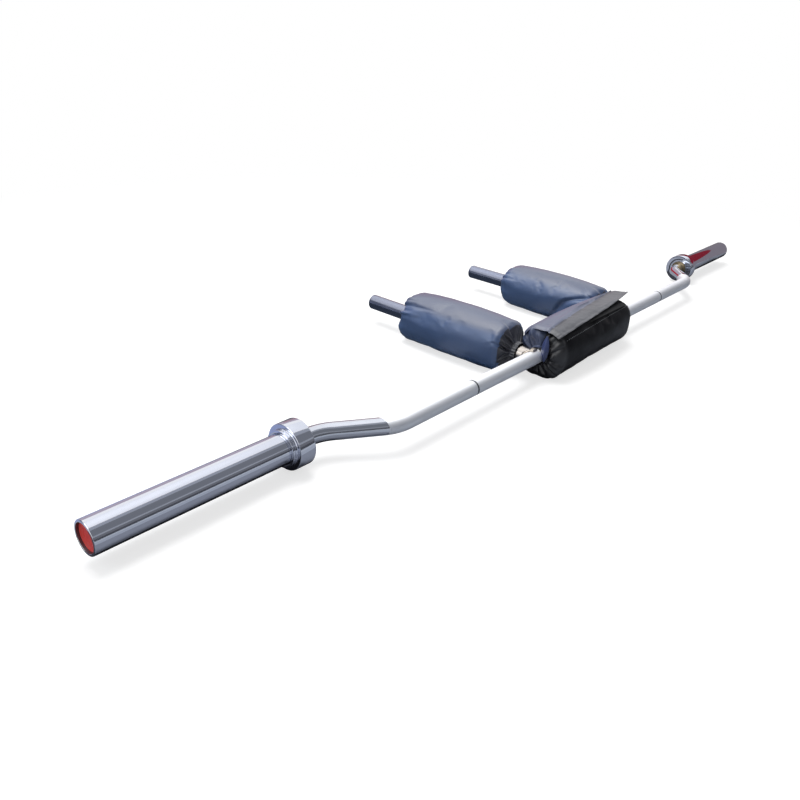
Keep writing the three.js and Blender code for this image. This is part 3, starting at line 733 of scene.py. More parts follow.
def collar_profile(low, high):
    """The collar's section: a rounded flange and a step ring with a groove round it."""
    flange = (high.z - low.z) / 2
    flange_end = low.x + COLLAR_FLANGE
    bore = SLEEVE_RADIUS + CLEARANCE
    groove_start = (flange_end + high.x - STEP_GROOVE) / 2
    groove_end = groove_start + STEP_GROOVE
    groove_root = STEP_RING_RADIUS - STEP_GROOVE_DEPTH
    return ring_profile(
        (low.x, bore),
        *arc(low.x + RIM_ROUNDING, flange - RIM_ROUNDING, RIM_ROUNDING, 180, 90),
        *arc(flange_end - RIM_ROUNDING, flange - RIM_ROUNDING, RIM_ROUNDING, 90, 0),
        (flange_end, STEP_RING_RADIUS),
        (groove_start, STEP_RING_RADIUS),
        (groove_start, groove_root),
        (groove_end, groove_root),
        (groove_end, STEP_RING_RADIUS),
        (high.x, STEP_RING_RADIUS),
        (high.x, bore),
    )


def cap_profile(low, lip):
    """The cap's section: a skirt, a lip and a face that is sunk a little in its middle."""
    outer = CAP_BORE - CLEARANCE
    wall = outer - CAP_WALL
    face = SLEEVE_END - CAP_RECESS
    sunk = face - CAP_SUNK
    back = low + CAP_SKIRT
    step, middle = wall * 0.62, wall * 0.6
    profile = [(back, 0.0), (back, wall), (low, wall), (low, outer), (lip, outer), (lip, wall)]
    return [*profile, (face, wall - (lip - face)), (face, step), (sunk, middle), (sunk, 0.0)]


def make_sleeve():
    """The left sleeve's pieces, with their names, finishes, slots and CAD nodes."""
    line = Vector((0, SLEEVE_Y, SLEEVE_Z))
    low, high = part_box("left_outer_bush")
    outer = (high.z - low.z) / 2
    inner = outer - BUSH_WALL
    plain = ring_profile((low.x, inner), (low.x, outer), (high.x, outer), (high.x, inner))
    tube = turned("left_sleeve_shell", tube_profile(low, outer + CLEARANCE), line)
    collar = turned("left_collar_ring", collar_profile(*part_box("left_sleeve_collar")), line, edge=0.4 * MM)
    low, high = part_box("left_inner_bush")
    flange = (high.z - low.z) / 2
    seat = low.x + BUSH_FLANGE
    flanged = ring_profile(
        (low.x, inner), (low.x, flange), (seat, flange), (seat, outer), (high.x, outer), (high.x, inner)
    )
    inner_bush = turned("left_flanged_bush", flanged, line, steps=SMALL_STEPS, edge=0.3 * MM)
    outer_bush = turned("left_plain_bush", plain, line, steps=SMALL_STEPS, edge=0.3 * MM)
    cap = turned("left_sleeve_cap", cap_profile(cap_low.x, cap_high.x), line, edge=0.3 * MM)
    return [
        (tube, "sleeve_shell", CHROME, "sleeve_chrome", "sleeve_tube"),
        (collar, "collar_ring", CHROME, "sleeve_chrome", "sleeve_collar"),
        (inner_bush, "flanged_bush", BRONZE, "bronze", "inner_bush"),
        (outer_bush, "plain_bush", BRONZE, "bronze", "outer_bush"),
        (cap, "sleeve_cap", RED_PLASTIC, "red_plastic", "end_cap"),
    ]


def make_sleeves():
    """The right sleeve is the left one turned half round about the upright through the sleeve line."""
    half_turn = Matrix.Translation((0, 2 * SLEEVE_Y, 0)) @ Matrix.Rotation(math.pi, 4, "Z")
    for piece, label, material, slot, node in make_sleeve():
        twin = copy_of(piece, f"right_{label}", half_turn)
        dress(piece, material, "left_sleeve", slot, f"left_{node}")
        dress(twin, material, "right_sleeve", slot, f"right_{node}")
    for side in ("left", "right"):
        for node in ("thrust_washer", "snap_ring"):
            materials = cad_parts[f"{side}_{node}"].data.materials
            materials.clear()
            materials.append(SPRING_STEEL)


# Arms


def make_arm():
    """The left arm: a tube coped to the shaft, the weld round it and the plug in its end."""
    tube_low, tube_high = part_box("left_arm_tube")
    centre_x = (tube_low.x + tube_high.x) / 2
    line = Vector((centre_x, 0, SHAFT_Z))
    start = tube_low.y
    inner = ARM_RADIUS - ARM_WALL
    profile = ring_profile((start, inner), (start, ARM_RADIUS), (SHAFT_Y, ARM_RADIUS), (SHAFT_Y, inner))
    tube = turned("left_handle_tube", profile, line, axis=Y, steps=ROUND_SIDES)
    cut_away(tube, (centre_x, SHAFT_Y, SHAFT_Z), SHAFT_RADIUS + CLEARANCE, LIE_ALONG_X, 4 * ARM_RADIUS)
    smooth(tube)
    head = start - CLEARANCE
    plug_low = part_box("left_handle_plug")[0].y
    spigot = inner - CLEARANCE
    spigot_end = head + PLUG_SPIGOT
    rim = arc(plug_low + PLUG_ROUNDING, ARM_RADIUS - PLUG_ROUNDING, PLUG_ROUNDING, 180, 90)
    profile = [(plug_low, 0.0), *rim, (head, ARM_RADIUS), (head, spigot)]
    profile += [(spigot_end, spigot), (spigot_end, 0.0)]
    plug = turned("left_handle_cap", profile, line, axis=Y, steps=ROUND_SIDES)
    return tube, plug, make_weld(centre_x)


def make_weld(centre_x):
    """A rippled bead that follows the saddle between the arm and the shaft."""
    clear_selection()
    bpy.ops.mesh.primitive_torus_add(
        location=(0, 0, 0), rotation=LIE_ALONG_Y, major_segments=180, minor_segments=16,
        major_radius=ARM_RADIUS, minor_radius=WELD_RADIUS,
    )
    bead = take_piece("left_weld_bead")
    for vertex in bead.data.vertices:
        round_angle = math.atan2(vertex.co.z, vertex.co.x)
        outward = Vector((math.cos(round_angle), 0, math.sin(round_angle)))
        height = ARM_RADIUS * outward.z
        depth = math.sqrt(max(SHAFT_RADIUS**2 - height**2, 0.0))
        from_line = vertex.co - outward * ARM_RADIUS
        ripple = math.sin(WELD_RIPPLES * round_angle + 2.2 * abs(from_line.y) / WELD_RADIUS)
        place = outward * ARM_RADIUS + from_line * (1 + 0.07 * ripple)
        if place.y < 0:
            place.y *= 1 + 1.3 * abs(outward.z)
        vertex.co = Vector((centre_x + place.x, SHAFT_Y - depth + place.y, SHAFT_Z + place.z))
    length = 8 * ARM_RADIUS
    cut_away(bead, (centre_x, SHAFT_Y, SHAFT_Z), SHAFT_RADIUS + CLEARANCE, LIE_ALONG_X, length)
    cut_away(bead, (centre_x, SHAFT_Y - length / 2, SHAFT_Z), ARM_RADIUS + CLEARANCE, LIE_ALONG_Y, length)
    smooth(bead, 50)
    return bead


def make_arms():
    tube, plug, weld = make_arm()
    kinds = [
        (tube, "handle_tube", HANDLE_CHROME, "handle_chrome", "arm_tube"),
        (plug, "handle_cap", HANDLE_CHROME, "handle_chrome", "handle_plug"),
        (weld, "weld_bead", WELD_METAL, "weld_metal", "arm_weld"),
    ]
    for piece, label, material, slot, node in kinds:
        twin = mirrored(piece, f"right_{label}")
        dress(piece, material, "bar", slot, f"left_{node}")
        dress(twin, material, "bar", slot, f"right_{node}")


# Pads


def clamped(value):
    """The value, kept from 0 to 1."""
    return min(max(value, 0.0), 1.0)


class PadEnd:
    """How one end of a cover closes on its tube.

    A dish sinks the hem into the end, and a negative one lets it stand out. The rim turns by the
    facing angle before the gathered face begins.
    """

    def __init__(self, dish, rounding, facing, folds):
        self.dish, self.rounding, self.facing, self.folds = dish, rounding, math.radians(facing), folds


class Pad:
    """A padded roll round a tube. Its length runs along one axis, with its middle at a centre.

    The trims draw its sides in by so many millimetres, each at the first and the last end.
    """

    def __init__(self, stem, axis, length, tube_radius, power, ends, trims):
        low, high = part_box(f"{stem}_cover")
        foam_low, foam_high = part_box(f"{stem}_foam")
        self.stem, self.axis, self.length = stem, axis, length
        self.side = Z.cross(axis) if axis == X else X
        middle = (low + high) / 2
        start = low.dot(axis) + length / 2
        self.centre = Vector((start if axis == X else middle.x, start if axis == Y else middle.y, SHAFT_Z))
        self.half_width = (high - low).dot(self.side) / 2
        self.up = high.z - SHAFT_Z
        self.down = SHAFT_Z - low.z + REST_FLAT
        self.rest = low.z
        self.tube_radius = tube_radius
        self.hem_radius = tube_radius + 2 * FABRIC_CLEARANCE + 2 * HEM_CORD_RADIUS + COVER_THICKNESS
        self.foam_ends = {-1: foam_low.dot(axis) - start, 1: foam_high.dot(axis) - start}
        self.power = power
        self.ends = ends
        self.trims = {side: (first * MM, last * MM) for side, (first, last) in trims.items()}

    def place(self, along, across, up):
        return self.centre + self.axis * along + self.side * across + Z * up

    def trim(self, side, along):
        """How far one side of this pad is drawn in from the plain form, at a place along it."""
        first, last = self.trims.get(side, (0.0, 0.0))
        share = clamped(along / self.length + 0.5)
        return first + (last - first) * share

    def section(self, along, inset, round_share, radius, angle):
        """A point of the boxy section, which turns round as it nears the tube."""
        share = min(abs(along) / (self.length / 2 - END_ROUNDING), 1.0)
        crown = 1 - CROWN_SHARE * share**2
        right, above = math.cos(angle), math.sin(angle)
        across = self.half_width * crown - inset - self.trim("plus" if right > 0 else "minus", along)
        height = (self.up * crown if above > 0 else self.down) - inset
        height -= self.trim("up" if above > 0 else "down", along)
        across += (radius - across) * round_share
        height += (radius - height) * round_share
        power = self.power + (1 - self.power) * round_share
        turned_across = across * math.copysign(abs(right) ** power, right)
        turned_up = height * math.copysign(abs(above) ** power, above)
        return turned_across, turned_up


def end_rows(pad, side):
    """Rows from a pad's middle to one mouth: place, inset, share round, and how far it faces the end."""
    end = pad.ends[side]
    flat_end = pad.length / 2 - end.rounding
    rows = [(flat_end * step / BODY_ROWS, 0.0, 0.0, 0.0) for step in range(BODY_ROWS)]
    for step in range(RIM_ROWS + 1):
        turn = end.facing * step / RIM_ROWS
        place = flat_end + end.rounding * math.sin(turn)
        rows.append((place, end.rounding * (1 - math.cos(turn)), 0.0, turn))
    rim, inset = rows[-1][:2]
    root = pad.length / 2 - end.dish
    for step in range(1, FACE_ROWS + 1):
        share = step / FACE_ROWS
        bend = share if end.dish < 0 else share**2
        rows.append((rim + (root - rim) * bend, inset, share, end.facing * (1 - 0.5 * share)))
    for step in range(1, HEM_ROWS + 1):
        rows.append((root + HEM_LENGTH * step / HEM_ROWS, inset, 1.0, 0.0))
    return rows


def distances_to_hem(pad, rows):
    """How far each row lies from the hem's root along the cover, negative in the hem."""
    places = []
    for along, inset, share, _ in rows:
        up = pad.section(along, inset, share, pad.hem_radius, math.pi / 2)[1]
        places.append(Vector((along, up)))
    total = [0.0]
    for before, after in zip(places, places[1:]):
        total.append(total[-1] + (after - before).length)
    root = total[len(rows) - 1 - HEM_ROWS]
    return [root - value for value in total]


class Gathers:
    """The folds that a hem draws the cover into: valleys of uneven depth, width and reach.

    Extra ones are given as angle, spread, depth, reach and drift, with the angles in degrees. A
    negative depth is a ridge.
    """

    def __init__(self, seed, count, depth, reach, extra=()):
        draw = random.Random(seed)
        pitch = 2 * math.pi / count
        self.valleys = []
        for number in range(count):
            angle = (number + draw.uniform(-0.3, 0.3)) * pitch
            width = pitch * draw.uniform(0.2, 0.36)
            deep = depth * draw.uniform(0.5, 1.3)
            far = draw.uniform(0.5, 1.0) * reach
            drift = draw.uniform(-1.0, 1.0) * pitch * 0.6
            self.valleys.append((angle, width, deep, far, drift))
        for angle, width, deep, far, drift in extra:
            self.valleys.append((math.radians(angle), math.radians(width), deep, far, math.radians(drift)))

    def depth_at(self, angle, distance):
        depth = 0.0
        for at, width, deep, far, drift in self.valleys:
            if distance >= far:
                continue
            share = max(distance, 0.0) / far
            off = (angle - at - drift * share + math.pi) % (2 * math.pi) - math.pi
            spread = width * (1 - 0.4 * share)
            if abs(off) < 3 * spread:
                start = HEM_SHARE if distance < 0 else min(1.0, HEM_SHARE + distance / FOLD_ONSET)
                depth += deep * (1 - share) ** 1.2 * start * math.exp(-((off / spread) ** 2))
        return depth


def add_grid(name, around, along):
    """A fresh sheet of quads, whose vertices come back as a dictionary from (side, row)."""
    clear_selection()
    bpy.ops.mesh.primitive_grid_add(x_subdivisions=around, y_subdivisions=along, size=2, location=(0, 0, 0))
    piece = bpy.context.object
    piece.name = name
    table = {}
    for vertex in piece.data.vertices:
        side = round((vertex.co.x + 1) / 2 * around)
        row = round((vertex.co.y + 1) / 2 * along)
        table[side, row] = vertex
    return piece, table


def make_cover(pad, name, shape):
    """The cover's outside as one rolled sheet from mouth to mouth, with its gathers."""
    rows = []
    for side in (-1, 1):
        half = end_rows(pad, side)
        found = [(side, row, far) for row, far in zip(half, distances_to_hem(pad, half))]
        rows += found[::-1] if side < 0 else found[1:]
    piece, table = add_grid(name, PAD_SIDES, len(rows) - 1)
    hems = []
    for (side, number), vertex in table.items():
        end, (along, inset, share, turn), distance = rows[number]
        angle = 2 * math.pi * (side % PAD_SIDES) / PAD_SIDES
        sink = pad.ends[end].folds.depth_at(angle, distance)
        place = Vector((along * 24 * end, math.cos(angle) * 2, math.sin(angle) * 2))
        sink += UNEVENNESS * noise.noise(place)
        sink += shape(end * along, math.degrees(angle), distance)
        inset += sink * math.cos(turn)
        radius = pad.hem_radius - sink * 0.5
        across, up = pad.section(end * along, inset, share, radius, angle)
        along -= sink * math.sin(turn)
        up = max(up, pad.rest - SHAFT_Z)
        vertex.co = pad.place(end * along, across, up)
        if distance < HELD_PAST_HEM:
            hems.append(vertex.index)
    held = piece.vertex_groups.new(name="held")
    held.add(hems, 1.0, "REPLACE")
    mend(piece)
    return piece


def swell(piece):
    """Lets the stuffing push the cover out between its held hems, and limits how far it moves.

    The cloth is cut a little large, so the push leaves it puckered.
    """
    before = [vertex.co.copy() for vertex in piece.data.vertices]
    lowest = min(place.z for place in before)
    cloth = piece.modifiers.new("cloth", "CLOTH")
    settings = cloth.settings
    settings.quality = 4
    settings.mass = 0.3
    settings.vertex_group_mass = "held"
    settings.shrink_min = CLOTH_SPARE
    settings.use_pressure = True
    settings.uniform_pressure_force = CLOTH_PRESSURE
    settings.effector_weights.gravity = 0
    scene = bpy.context.scene
    for step in range(1, CLOTH_FRAMES + 1):
        scene.frame_set(step)
    select_only(piece)
    bpy.ops.object.modifier_apply(modifier=cloth.name)
    scene.frame_set(1)
    for vertex, place in zip(piece.data.vertices, before):
        moved = vertex.co - place
        if moved.length > MOST_SWELL:
            moved *= MOST_SWELL / moved.length
        vertex.co = place + moved
        vertex.co.z = max(vertex.co.z, lowest)


def make_foam(pad, name):
    """The foam roll, smaller than the cover by the depth of its folds, with a bore for the tube."""
    inset = COVER_THICKNESS + FOAM_GAP
    bore = pad.tube_radius + FABRIC_CLEARANCE
    corner = FOAM_CORNER
    corner_steps, body_steps = 6, 10
    half = [(step / body_steps, 0.0, 0.0, 0.0) for step in range(body_steps - 1)]
    for step in range(corner_steps + 1):
        turn = math.pi / 2 * step / corner_steps
        half.append((1.0, -corner * (1 - math.sin(turn)), corner * (1 - math.cos(turn)), 0.0))
    loop = [(-1, row) for row in half[::-1]] + [(1, row) for row in half[1:]]
    loop += [(1, (1.0, 0.0, corner, 0.5)), (1, (1.0, 0.0, 0.0, 1.0)), (1, (0.0, 0.0, 0.0, 1.0))]
    loop += [(-1, (1.0, 0.0, 0.0, 1.0)), (-1, (1.0, 0.0, corner, 0.5))]
    piece, table = add_grid(name, FOAM_SIDES, len(loop))
    for (side, number), vertex in table.items():
        end, (part, shift, inside, share) = loop[number % len(loop)]
        reach = abs(pad.foam_ends[end]) - FOAM_GAP
        along = end * (reach * part + shift)
        narrow = (END_ROUNDING - END_DISH + 3 * MM) * max(0.0, abs(along) / reach - 0.7) / 0.3
        angle = 2 * math.pi * (side % FOAM_SIDES) / FOAM_SIDES
        across, up = pad.section(along, inset + inside + narrow, share, bore, angle)
        vertex.co = pad.place(along, across, up)
    mend(piece)
    smooth(piece, 50)
    return piece


def make_hem_cord(pad, name, side):
    """The elastic cord in a hem."""
    clear_selection()
    bpy.ops.mesh.primitive_torus_add(
        rotation=LIE_ALONG_X if pad.axis == X else LIE_ALONG_Y,
        location=pad.place(side * (pad.length / 2 - pad.ends[side].dish), 0, 0),
        major_segments=72,
        minor_segments=14,
        major_radius=pad.tube_radius + FABRIC_CLEARANCE + HEM_CORD_RADIUS,
        minor_radius=HEM_CORD_RADIUS,
    )
    cord = take_piece(name)
    smooth(cord, 80)
    return cord


def fill_pad(pad, name, shape, vinyl, slot, cord_labels):
    """Makes a pad's swollen cover, its foam core and the cord in each hem."""
    cover = make_cover(pad, f"{name}_pad_skin", shape)
    swell(cover)
    cover.vertex_groups.clear()
    apply_modifier(cover, "SUBSURF", levels=1, render_levels=1)
    mend(cover)
    apply_modifier(cover, "SOLIDIFY", thickness=COVER_THICKNESS, offset=-1)
    smooth(cover, 70)
    dress(cover, vinyl, "bar", slot, f"{pad.stem}_cover")
    foam = make_foam(pad, f"{name}_pad_core")
    dress(foam, FOAM, "bar", "foam", f"{pad.stem}_foam")
    for label, end in zip(cord_labels, (1, -1)):
        cord = make_hem_cord(pad, f"{name}_{label}_hem_elastic", end)
        dress(cord, ELASTIC, "bar", "elastic", f"{pad.stem}_{label}_cord")
    return cover


def make_stitches(name, piece, line, out):
    """A row of sewn stitches that lie on a piece, below a line of points given as a function of a share."""
    measures = 60
    points = [line(step / measures) for step in range(measures + 1)]
    length = sum((after - before).length for before, after in zip(points, points[1:]))
    count = round(length / STITCH_PITCH)
    made = []
    for number in range(count):
        share = (number + 0.5) / count
        ends = []
        for off in (-STITCH_REACH, STITCH_REACH):
            found = piece.ray_cast(line(share + off / count) + out * 30 * MM, -out)
            ends.append(found[1] + found[2] * STITCH_LIFT)
        clear_selection()
        bpy.ops.mesh.primitive_uv_sphere_add(segments=8, ring_count=6, radius=1, location=(0, 0, 0))
        run = ends[1] - ends[0]
        turn = Z.rotation_difference(run).to_matrix().to_4x4()
        size = Matrix.Diagonal((STITCH_RADIUS, STITCH_RADIUS, run.length / 2, 1))
        made.append(bpy.context.object)
        made[-1].data.transform(Matrix.Translation((ends[0] + ends[1]) / 2) @ turn @ size)
    for stitch in made:
        stitch.select_set(True)
    bpy.context.view_layer.objects.active = made[0]
    bpy.ops.object.join()
    made[0].name = name
    smooth(made[0], 80)
    dress(made[0], THREAD, "bar", "black_vinyl")


def hump(value, centre, spread):
    return math.exp(-(((value - centre) / spread) ** 2))


def left_pad_shape(along, degrees, distance):
    """The long crease on the pad's outer side, which starts at the handle and fades toward the shaft."""
    share = (along + SHOULDER_LENGTH / 2) / SHOULDER_LENGTH
    ridge_at = 11 + 24 * clamped(share) ** 0.6
    fade = clamped(1 - 0.85 * share)
    slope = 8.5 * MM * hump(degrees, ridge_at + 22, 17) * fade
    crease = 3.4 * MM * hump(degrees, ridge_at - 6, 5) * fade**2
    under = 3.0 * MM * hump(degrees, 315, 22)
    return slope + crease + under - 2.2 * MM * hump(degrees, ridge_at + 3, 5) * fade


def right_pad_shape(along, degrees, distance):
    """The curved crease where the pad is pulled in beside the neck pad, and the fold below it."""
    if degrees > 180:
        degrees -= 360
    place = along / MM
    path = -22 + 62 * clamped((place - 40) / 85) ** 0.7
    inside = clamped((place - 34) / 14) * clamped((140 - place) / 30)
    crease = 6.5 * MM * hump(degrees, path, 8) * inside
    fold = -3.0 * MM * hump(degrees, path - 17, 9) * inside
    corner = 5.0 * MM * hump(degrees, 52, 22) * clamped((-20 - place) / 110)
    tucked = 8.0 * MM * hump(degrees, -50, 45) * clamped((-95 - place) / 35)
    return crease + fold + corner + tucked


def make_shoulder_pad(side, ends, trims, shape):
    stem = f"{side}_shoulder"
    pad = Pad(stem, Y, SHOULDER_LENGTH, ARM_RADIUS, SHOULDER_POWER, ends, trims)
    fill_pad(pad, side, shape, BLUE_VINYL, "blue_vinyl", ("inner", "outer"))


def make_shoulder_pads():
    folds = [
        (21, 5, 4.5 * MM, 190 * MM, 8),
        (4, 5, 2.6 * MM, 130 * MM, -8),
        (45, 5, 2.6 * MM, 140 * MM, 4),
        (62, 4, 2.2 * MM, 120 * MM, 2),
        (80, 5, 2.4 * MM, 120 * MM, -4),
    ]
    handle_end = PadEnd(END_DISH, END_ROUNDING, 90, Gathers(11, 16, 2.6 * MM, 115 * MM, folds))
    shaft_end = PadEnd(-HEM_STANDS_OUT, 17 * MM, 68, Gathers(12, 23, 10.0 * MM, 66 * MM))
    trims = {"up": (-1, -4), "plus": (2, 6), "down": (1, 3)}
    make_shoulder_pad("left", {-1: handle_end, 1: shaft_end}, trims, left_pad_shape)
    folds = [
        (25, 6, 4.0 * MM, 170 * MM, 5),
        (47, 5, 3.2 * MM, 150 * MM, 3),
        (70, 6, 3.6 * MM, 160 * MM, -4),
        (4, 6, 2.6 * MM, 130 * MM, -6),
    ]
    handle_end = PadEnd(END_DISH + 6 * MM, 30 * MM, 90, Gathers(31, 15, 3.0 * MM, 115 * MM, folds))
    shaft_end = PadEnd(-HEM_STANDS_OUT, 20 * MM, 68, Gathers(32, 23, 6.0 * MM, 62 * MM))
    trims = {"up": (5, 5), "plus": (3, 1), "minus": (3, 1), "down": (3, 0)}
    make_shoulder_pad("right", {-1: handle_end, 1: shaft_end}, trims, right_pad_shape)


def seam_degrees(along):
    """Where the seam of the neck cover's front lies, from its left end to its right."""
    return 41 + 16 * clamped(0.5 - along / NECK_LENGTH)


def neck_pad_shape(along, degrees, distance):
    """The sewn seam along the front, and the left end's pleat, its hollow and the roll by the shaft."""
    seam = seam_degrees(along)
    line = 1.0 * MM * hump(degrees, seam, 1.6) - 0.9 * MM * hump(degrees, seam - 4.5, 2.6)
    sink = line * clamped((distance - 50 * MM) / (12 * MM))
    if along > 0:
        near = hump(distance, 26 * MM, 20 * MM)
        ridge_at = 131 - 29 * clamped(distance / (50 * MM))
        sink -= 8 * MM * hump(degrees, ridge_at, 9) * near
        sink += 11 * MM * hump(degrees, 84, 8) * near
        sink += 6 * MM * hump(degrees, ridge_at + 22, 7) * near
        front = hump((degrees + 180) % 360 - 180, 0, 50)
        sink -= 9 * MM * front * hump(distance, 7 * MM, 8 * MM)
    return sink


def make_neck_pad():
    ends = {
        -1: PadEnd(END_DISH, 42 * MM, 90, Gathers(71, 18, 4.5 * MM, 60 * MM)),
        1: PadEnd(1 * MM, 17 * MM, 74, Gathers(72, 17, 6.0 * MM, 70 * MM)),
    }
    trims = {"up": (1, 1), "plus": (-1.5, -6.5), "minus": (0, -4), "down": (8, 0)}
    pad = Pad("neck", X, NECK_LENGTH, SHAFT_RADIUS, NECK_POWER, ends, trims)
    cover = fill_pad(pad, "neck", neck_pad_shape, NECK_VINYL, "black_vinyl", ("left", "right"))

    def seam_line(share):
        along = (0.5 - share) * SEAM_LENGTH
        angle = math.radians(seam_degrees(along) - STITCHES_BELOW_SEAM)
        return pad.place(along, *pad.section(along, 0.0, 0.0, 0.0, angle))

    make_stitches("neck_front_stitches", cover, seam_line, (Y + Z).normalized())
    make_tuck()
    make_flap(pad)


def make_tuck():
    """The leaf-shaped tuck of blue vinyl that hangs from the flap over the neck pad's left end."""
    long_steps, wide_steps = 26, 14
    piece, table = add_grid("neck_end_tuck", wide_steps, long_steps)
    top = Vector((NECK_LENGTH / 2 + 1 * MM, SHAFT_Y + 14 * MM, SHAFT_Z + 46 * MM))
    bottom = Vector((NECK_LENGTH / 2 + 9 * MM, SHAFT_Y + 18.5 * MM, SHAFT_Z - 6 * MM))
    run = bottom - top
    sideways = run.cross(X).normalized()
    outward = Vector((1, 0.35, 0)).normalized()
    for (side, number), vertex in table.items():
        across = 2 * side / wide_steps - 1
        share = number / long_steps
        width = TUCK_HALF_WIDTH * math.sin(math.pi * (0.05 + 0.9 * share)) ** 0.9
        bow = 4 * MM * math.sin(math.pi * share)
        height = (1 - abs(across)) ** 0.8 * 8.5 * MM * math.sin(math.pi * (0.12 + 0.8 * share))
        vertex.co = top + run * share + sideways * across * width + outward * (height + bow)
    mend(piece)
    apply_modifier(piece, "SOLIDIFY", thickness=TUCK_THICKNESS, offset=-1)
    apply_modifier(piece, "SUBSURF", levels=1, render_levels=1)
    smooth(piece, 60)
    dress(piece, TUCK_VINYL, "bar", "blue_vinyl")


# Closing flap and its tapes


def make_sheet(pad, name, node, places, lift_at, steps, thickness, finish, shift=0.0):
    """A sheet as long as its CAD node that lies over the top of a pad.

    Its places give the angles of its two edges, each at the left and the right end of the flap.
    """
    low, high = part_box(node)
    length = (high - low).x
    (left_start, right_start), (left_end, right_end) = places
    along_steps, round_steps = steps
    piece, table = add_grid(name, round_steps, along_steps)
    for (side, number), vertex in table.items():
        share = side / round_steps
        along = (number / along_steps - 0.5) * length + shift
        right = 0.5 - along / FLAP_LENGTH
        start = left_start + (right_start - left_start) * right
        end = left_end + (right_end - left_end) * right
        angle = math.radians(start + (end - start) * share)
        off, rise = lift_at(right, share)
        across, up = pad.section(along, -off, 0.0, 0.0, angle)
        vertex.co = pad.place(along, across, up + rise)
    mend(piece)
    apply_modifier(piece, "SOLIDIFY", thickness=thickness, offset=-1)
    smooth(piece, 60)
    material, slot = finish
    dress(piece, material, "bar", slot, node)


def flap_lift(right, share):
    """How high the flap lies above the cover: it settles at its seam, and its free corner stands up."""
    settled = clamped((share - 0.5) / 0.5)
    settled = settled * settled * (3 - 2 * settled)
    off = FLAP_LIFT + (FLAP_SEAM_LIFT - FLAP_LIFT) * settled
    past = max(0.0, (0.5 - right) * FLAP_LENGTH - NECK_LENGTH / 2 + FLAP_END_BEND)
    off -= FLAP_END_BEND - math.sqrt(FLAP_END_BEND**2 - min(past, 15 * MM) ** 2)
    hem = 0.5 * MM * hump(share, 0.025, 0.03) - 0.35 * MM * hump(share, 0.075, 0.018)
    place = Vector((right * 9, share * 5, 0))
    ruffle = 1.5 * MM * noise.noise(place) + 0.7 * MM * noise.noise(place * 2.7)
    crease = 2.4 * MM * hump(share, 0.35 + 0.07 * right, 0.022)
    crease -= 1.4 * MM * hump(share, 0.31 + 0.07 * right, 0.02)
    loose = (1 - share) ** 1.5
    rise = 13 * MM * max(0.0, 2 * right - 1) ** 2.2 * (1 - share) ** 2.5
    return off + hem + ruffle * loose + crease + FLAP_THICKNESS, rise


def make_flap(pad):
    places = (53.0, 76.0), (146.0, 146.0)
    finish = FLAP_VINYL, "grey_vinyl"
    make_sheet(
        pad, "closing_flap", "neck_flap", places, flap_lift, (150, 44), FLAP_THICKNESS, finish, 4 * MM
    )
    tapes = [
        ("soft_loop_tape", "loop_tape", 2.0 * MM, ((55.0, 55.0), (85.0, 85.0))),
        ("hook_side_tape", "hook_tape", 4.0 * MM, ((55.0, 84.0), (85.0, 104.0))),
    ]
    for name, node, lift, places in tapes:
        def tape_lift(right, share, lift=lift):
            return lift + TAPE_THICKNESS, 0.0

        make_sheet(pad, name, node, places, tape_lift, (90, 14), TAPE_THICKNESS, (TAPE, "tape"))


# Stage

WHITE = (1, 1, 1)
FLOOR_RADIUS = 14
# Between these distances the floor runs out to white.
FADE_FROM = 1.3
FADE_TO = 2.2
FLOOR_GLOW = 0.69
WORLD_LIGHT = 0.32
STRIP_Z = 0.002
LOW_WALL_Y = 2.4
FAR_WALL_Y = -3.0
BEFORE_FAR_WALL = -2.98
SCREEN_Y = 1.22


def seen_directly(tree):
    """One for the rays that show a background: straight, by a mirror or through glass."""
    rays = tree.nodes.new("ShaderNodeLightPath").outputs
    seen = compute(tree, "MAXIMUM", rays["Is Camera Ray"], rays["Is Transmission Ray"])
    return compute(tree, "MAXIMUM", seen, rays["Is Glossy Ray"])


def glow(tree, colour, strength=1.0):
    """Light of one colour, seen and not lit."""
    return add_node(tree, "ShaderNodeEmission", None, Color=(*colour, 1), Strength=strength).outputs[0]


def join_shaders(tree, kind, *sources):
    node = tree.nodes.new(kind)
    for socket, source in zip(node.inputs, sources):
        tree.links.new(source, socket)
    return node.outputs[0]


def add_floor():
    """A pale floor that keeps the object's shadow and runs out to white."""
    clear_selection()
    bpy.ops.mesh.primitive_circle_add(
        vertices=128, radius=FLOOR_RADIUS, fill_type="NGON", location=(0, 0.2, 0)
    )
    floor = bpy.context.object
    floor.name = "studio_floor"
    material, tree, shader = shader_tree("floor_paper")
    feed_node(tree, shader, Base_Color=(0.46, 0.46, 0.46, 1), Roughness=0.9, Specular_IOR_Level=0.1)
    away = compute(tree, "LENGTH", own_place(tree), kind="ShaderNodeVectorMath")
    far = ramp_between(tree, away, FADE_FROM, FADE_TO)
    shown = seen_directly(tree)
    lift = glow(tree, WHITE, compute(tree, "MULTIPLY", shown, FLOOR_GLOW))
    lit = join_shaders(tree, "ShaderNodeAddShader", shader.outputs[0], lift)
    edge = compute(tree, "MULTIPLY", far, shown)
    mixed = join_shaders(tree, "ShaderNodeMixShader", edge, lit, glow(tree, WHITE))
    tree.links.new(mixed, tree.nodes["Material Output"].inputs["Surface"])
    floor.data.materials.append(material)


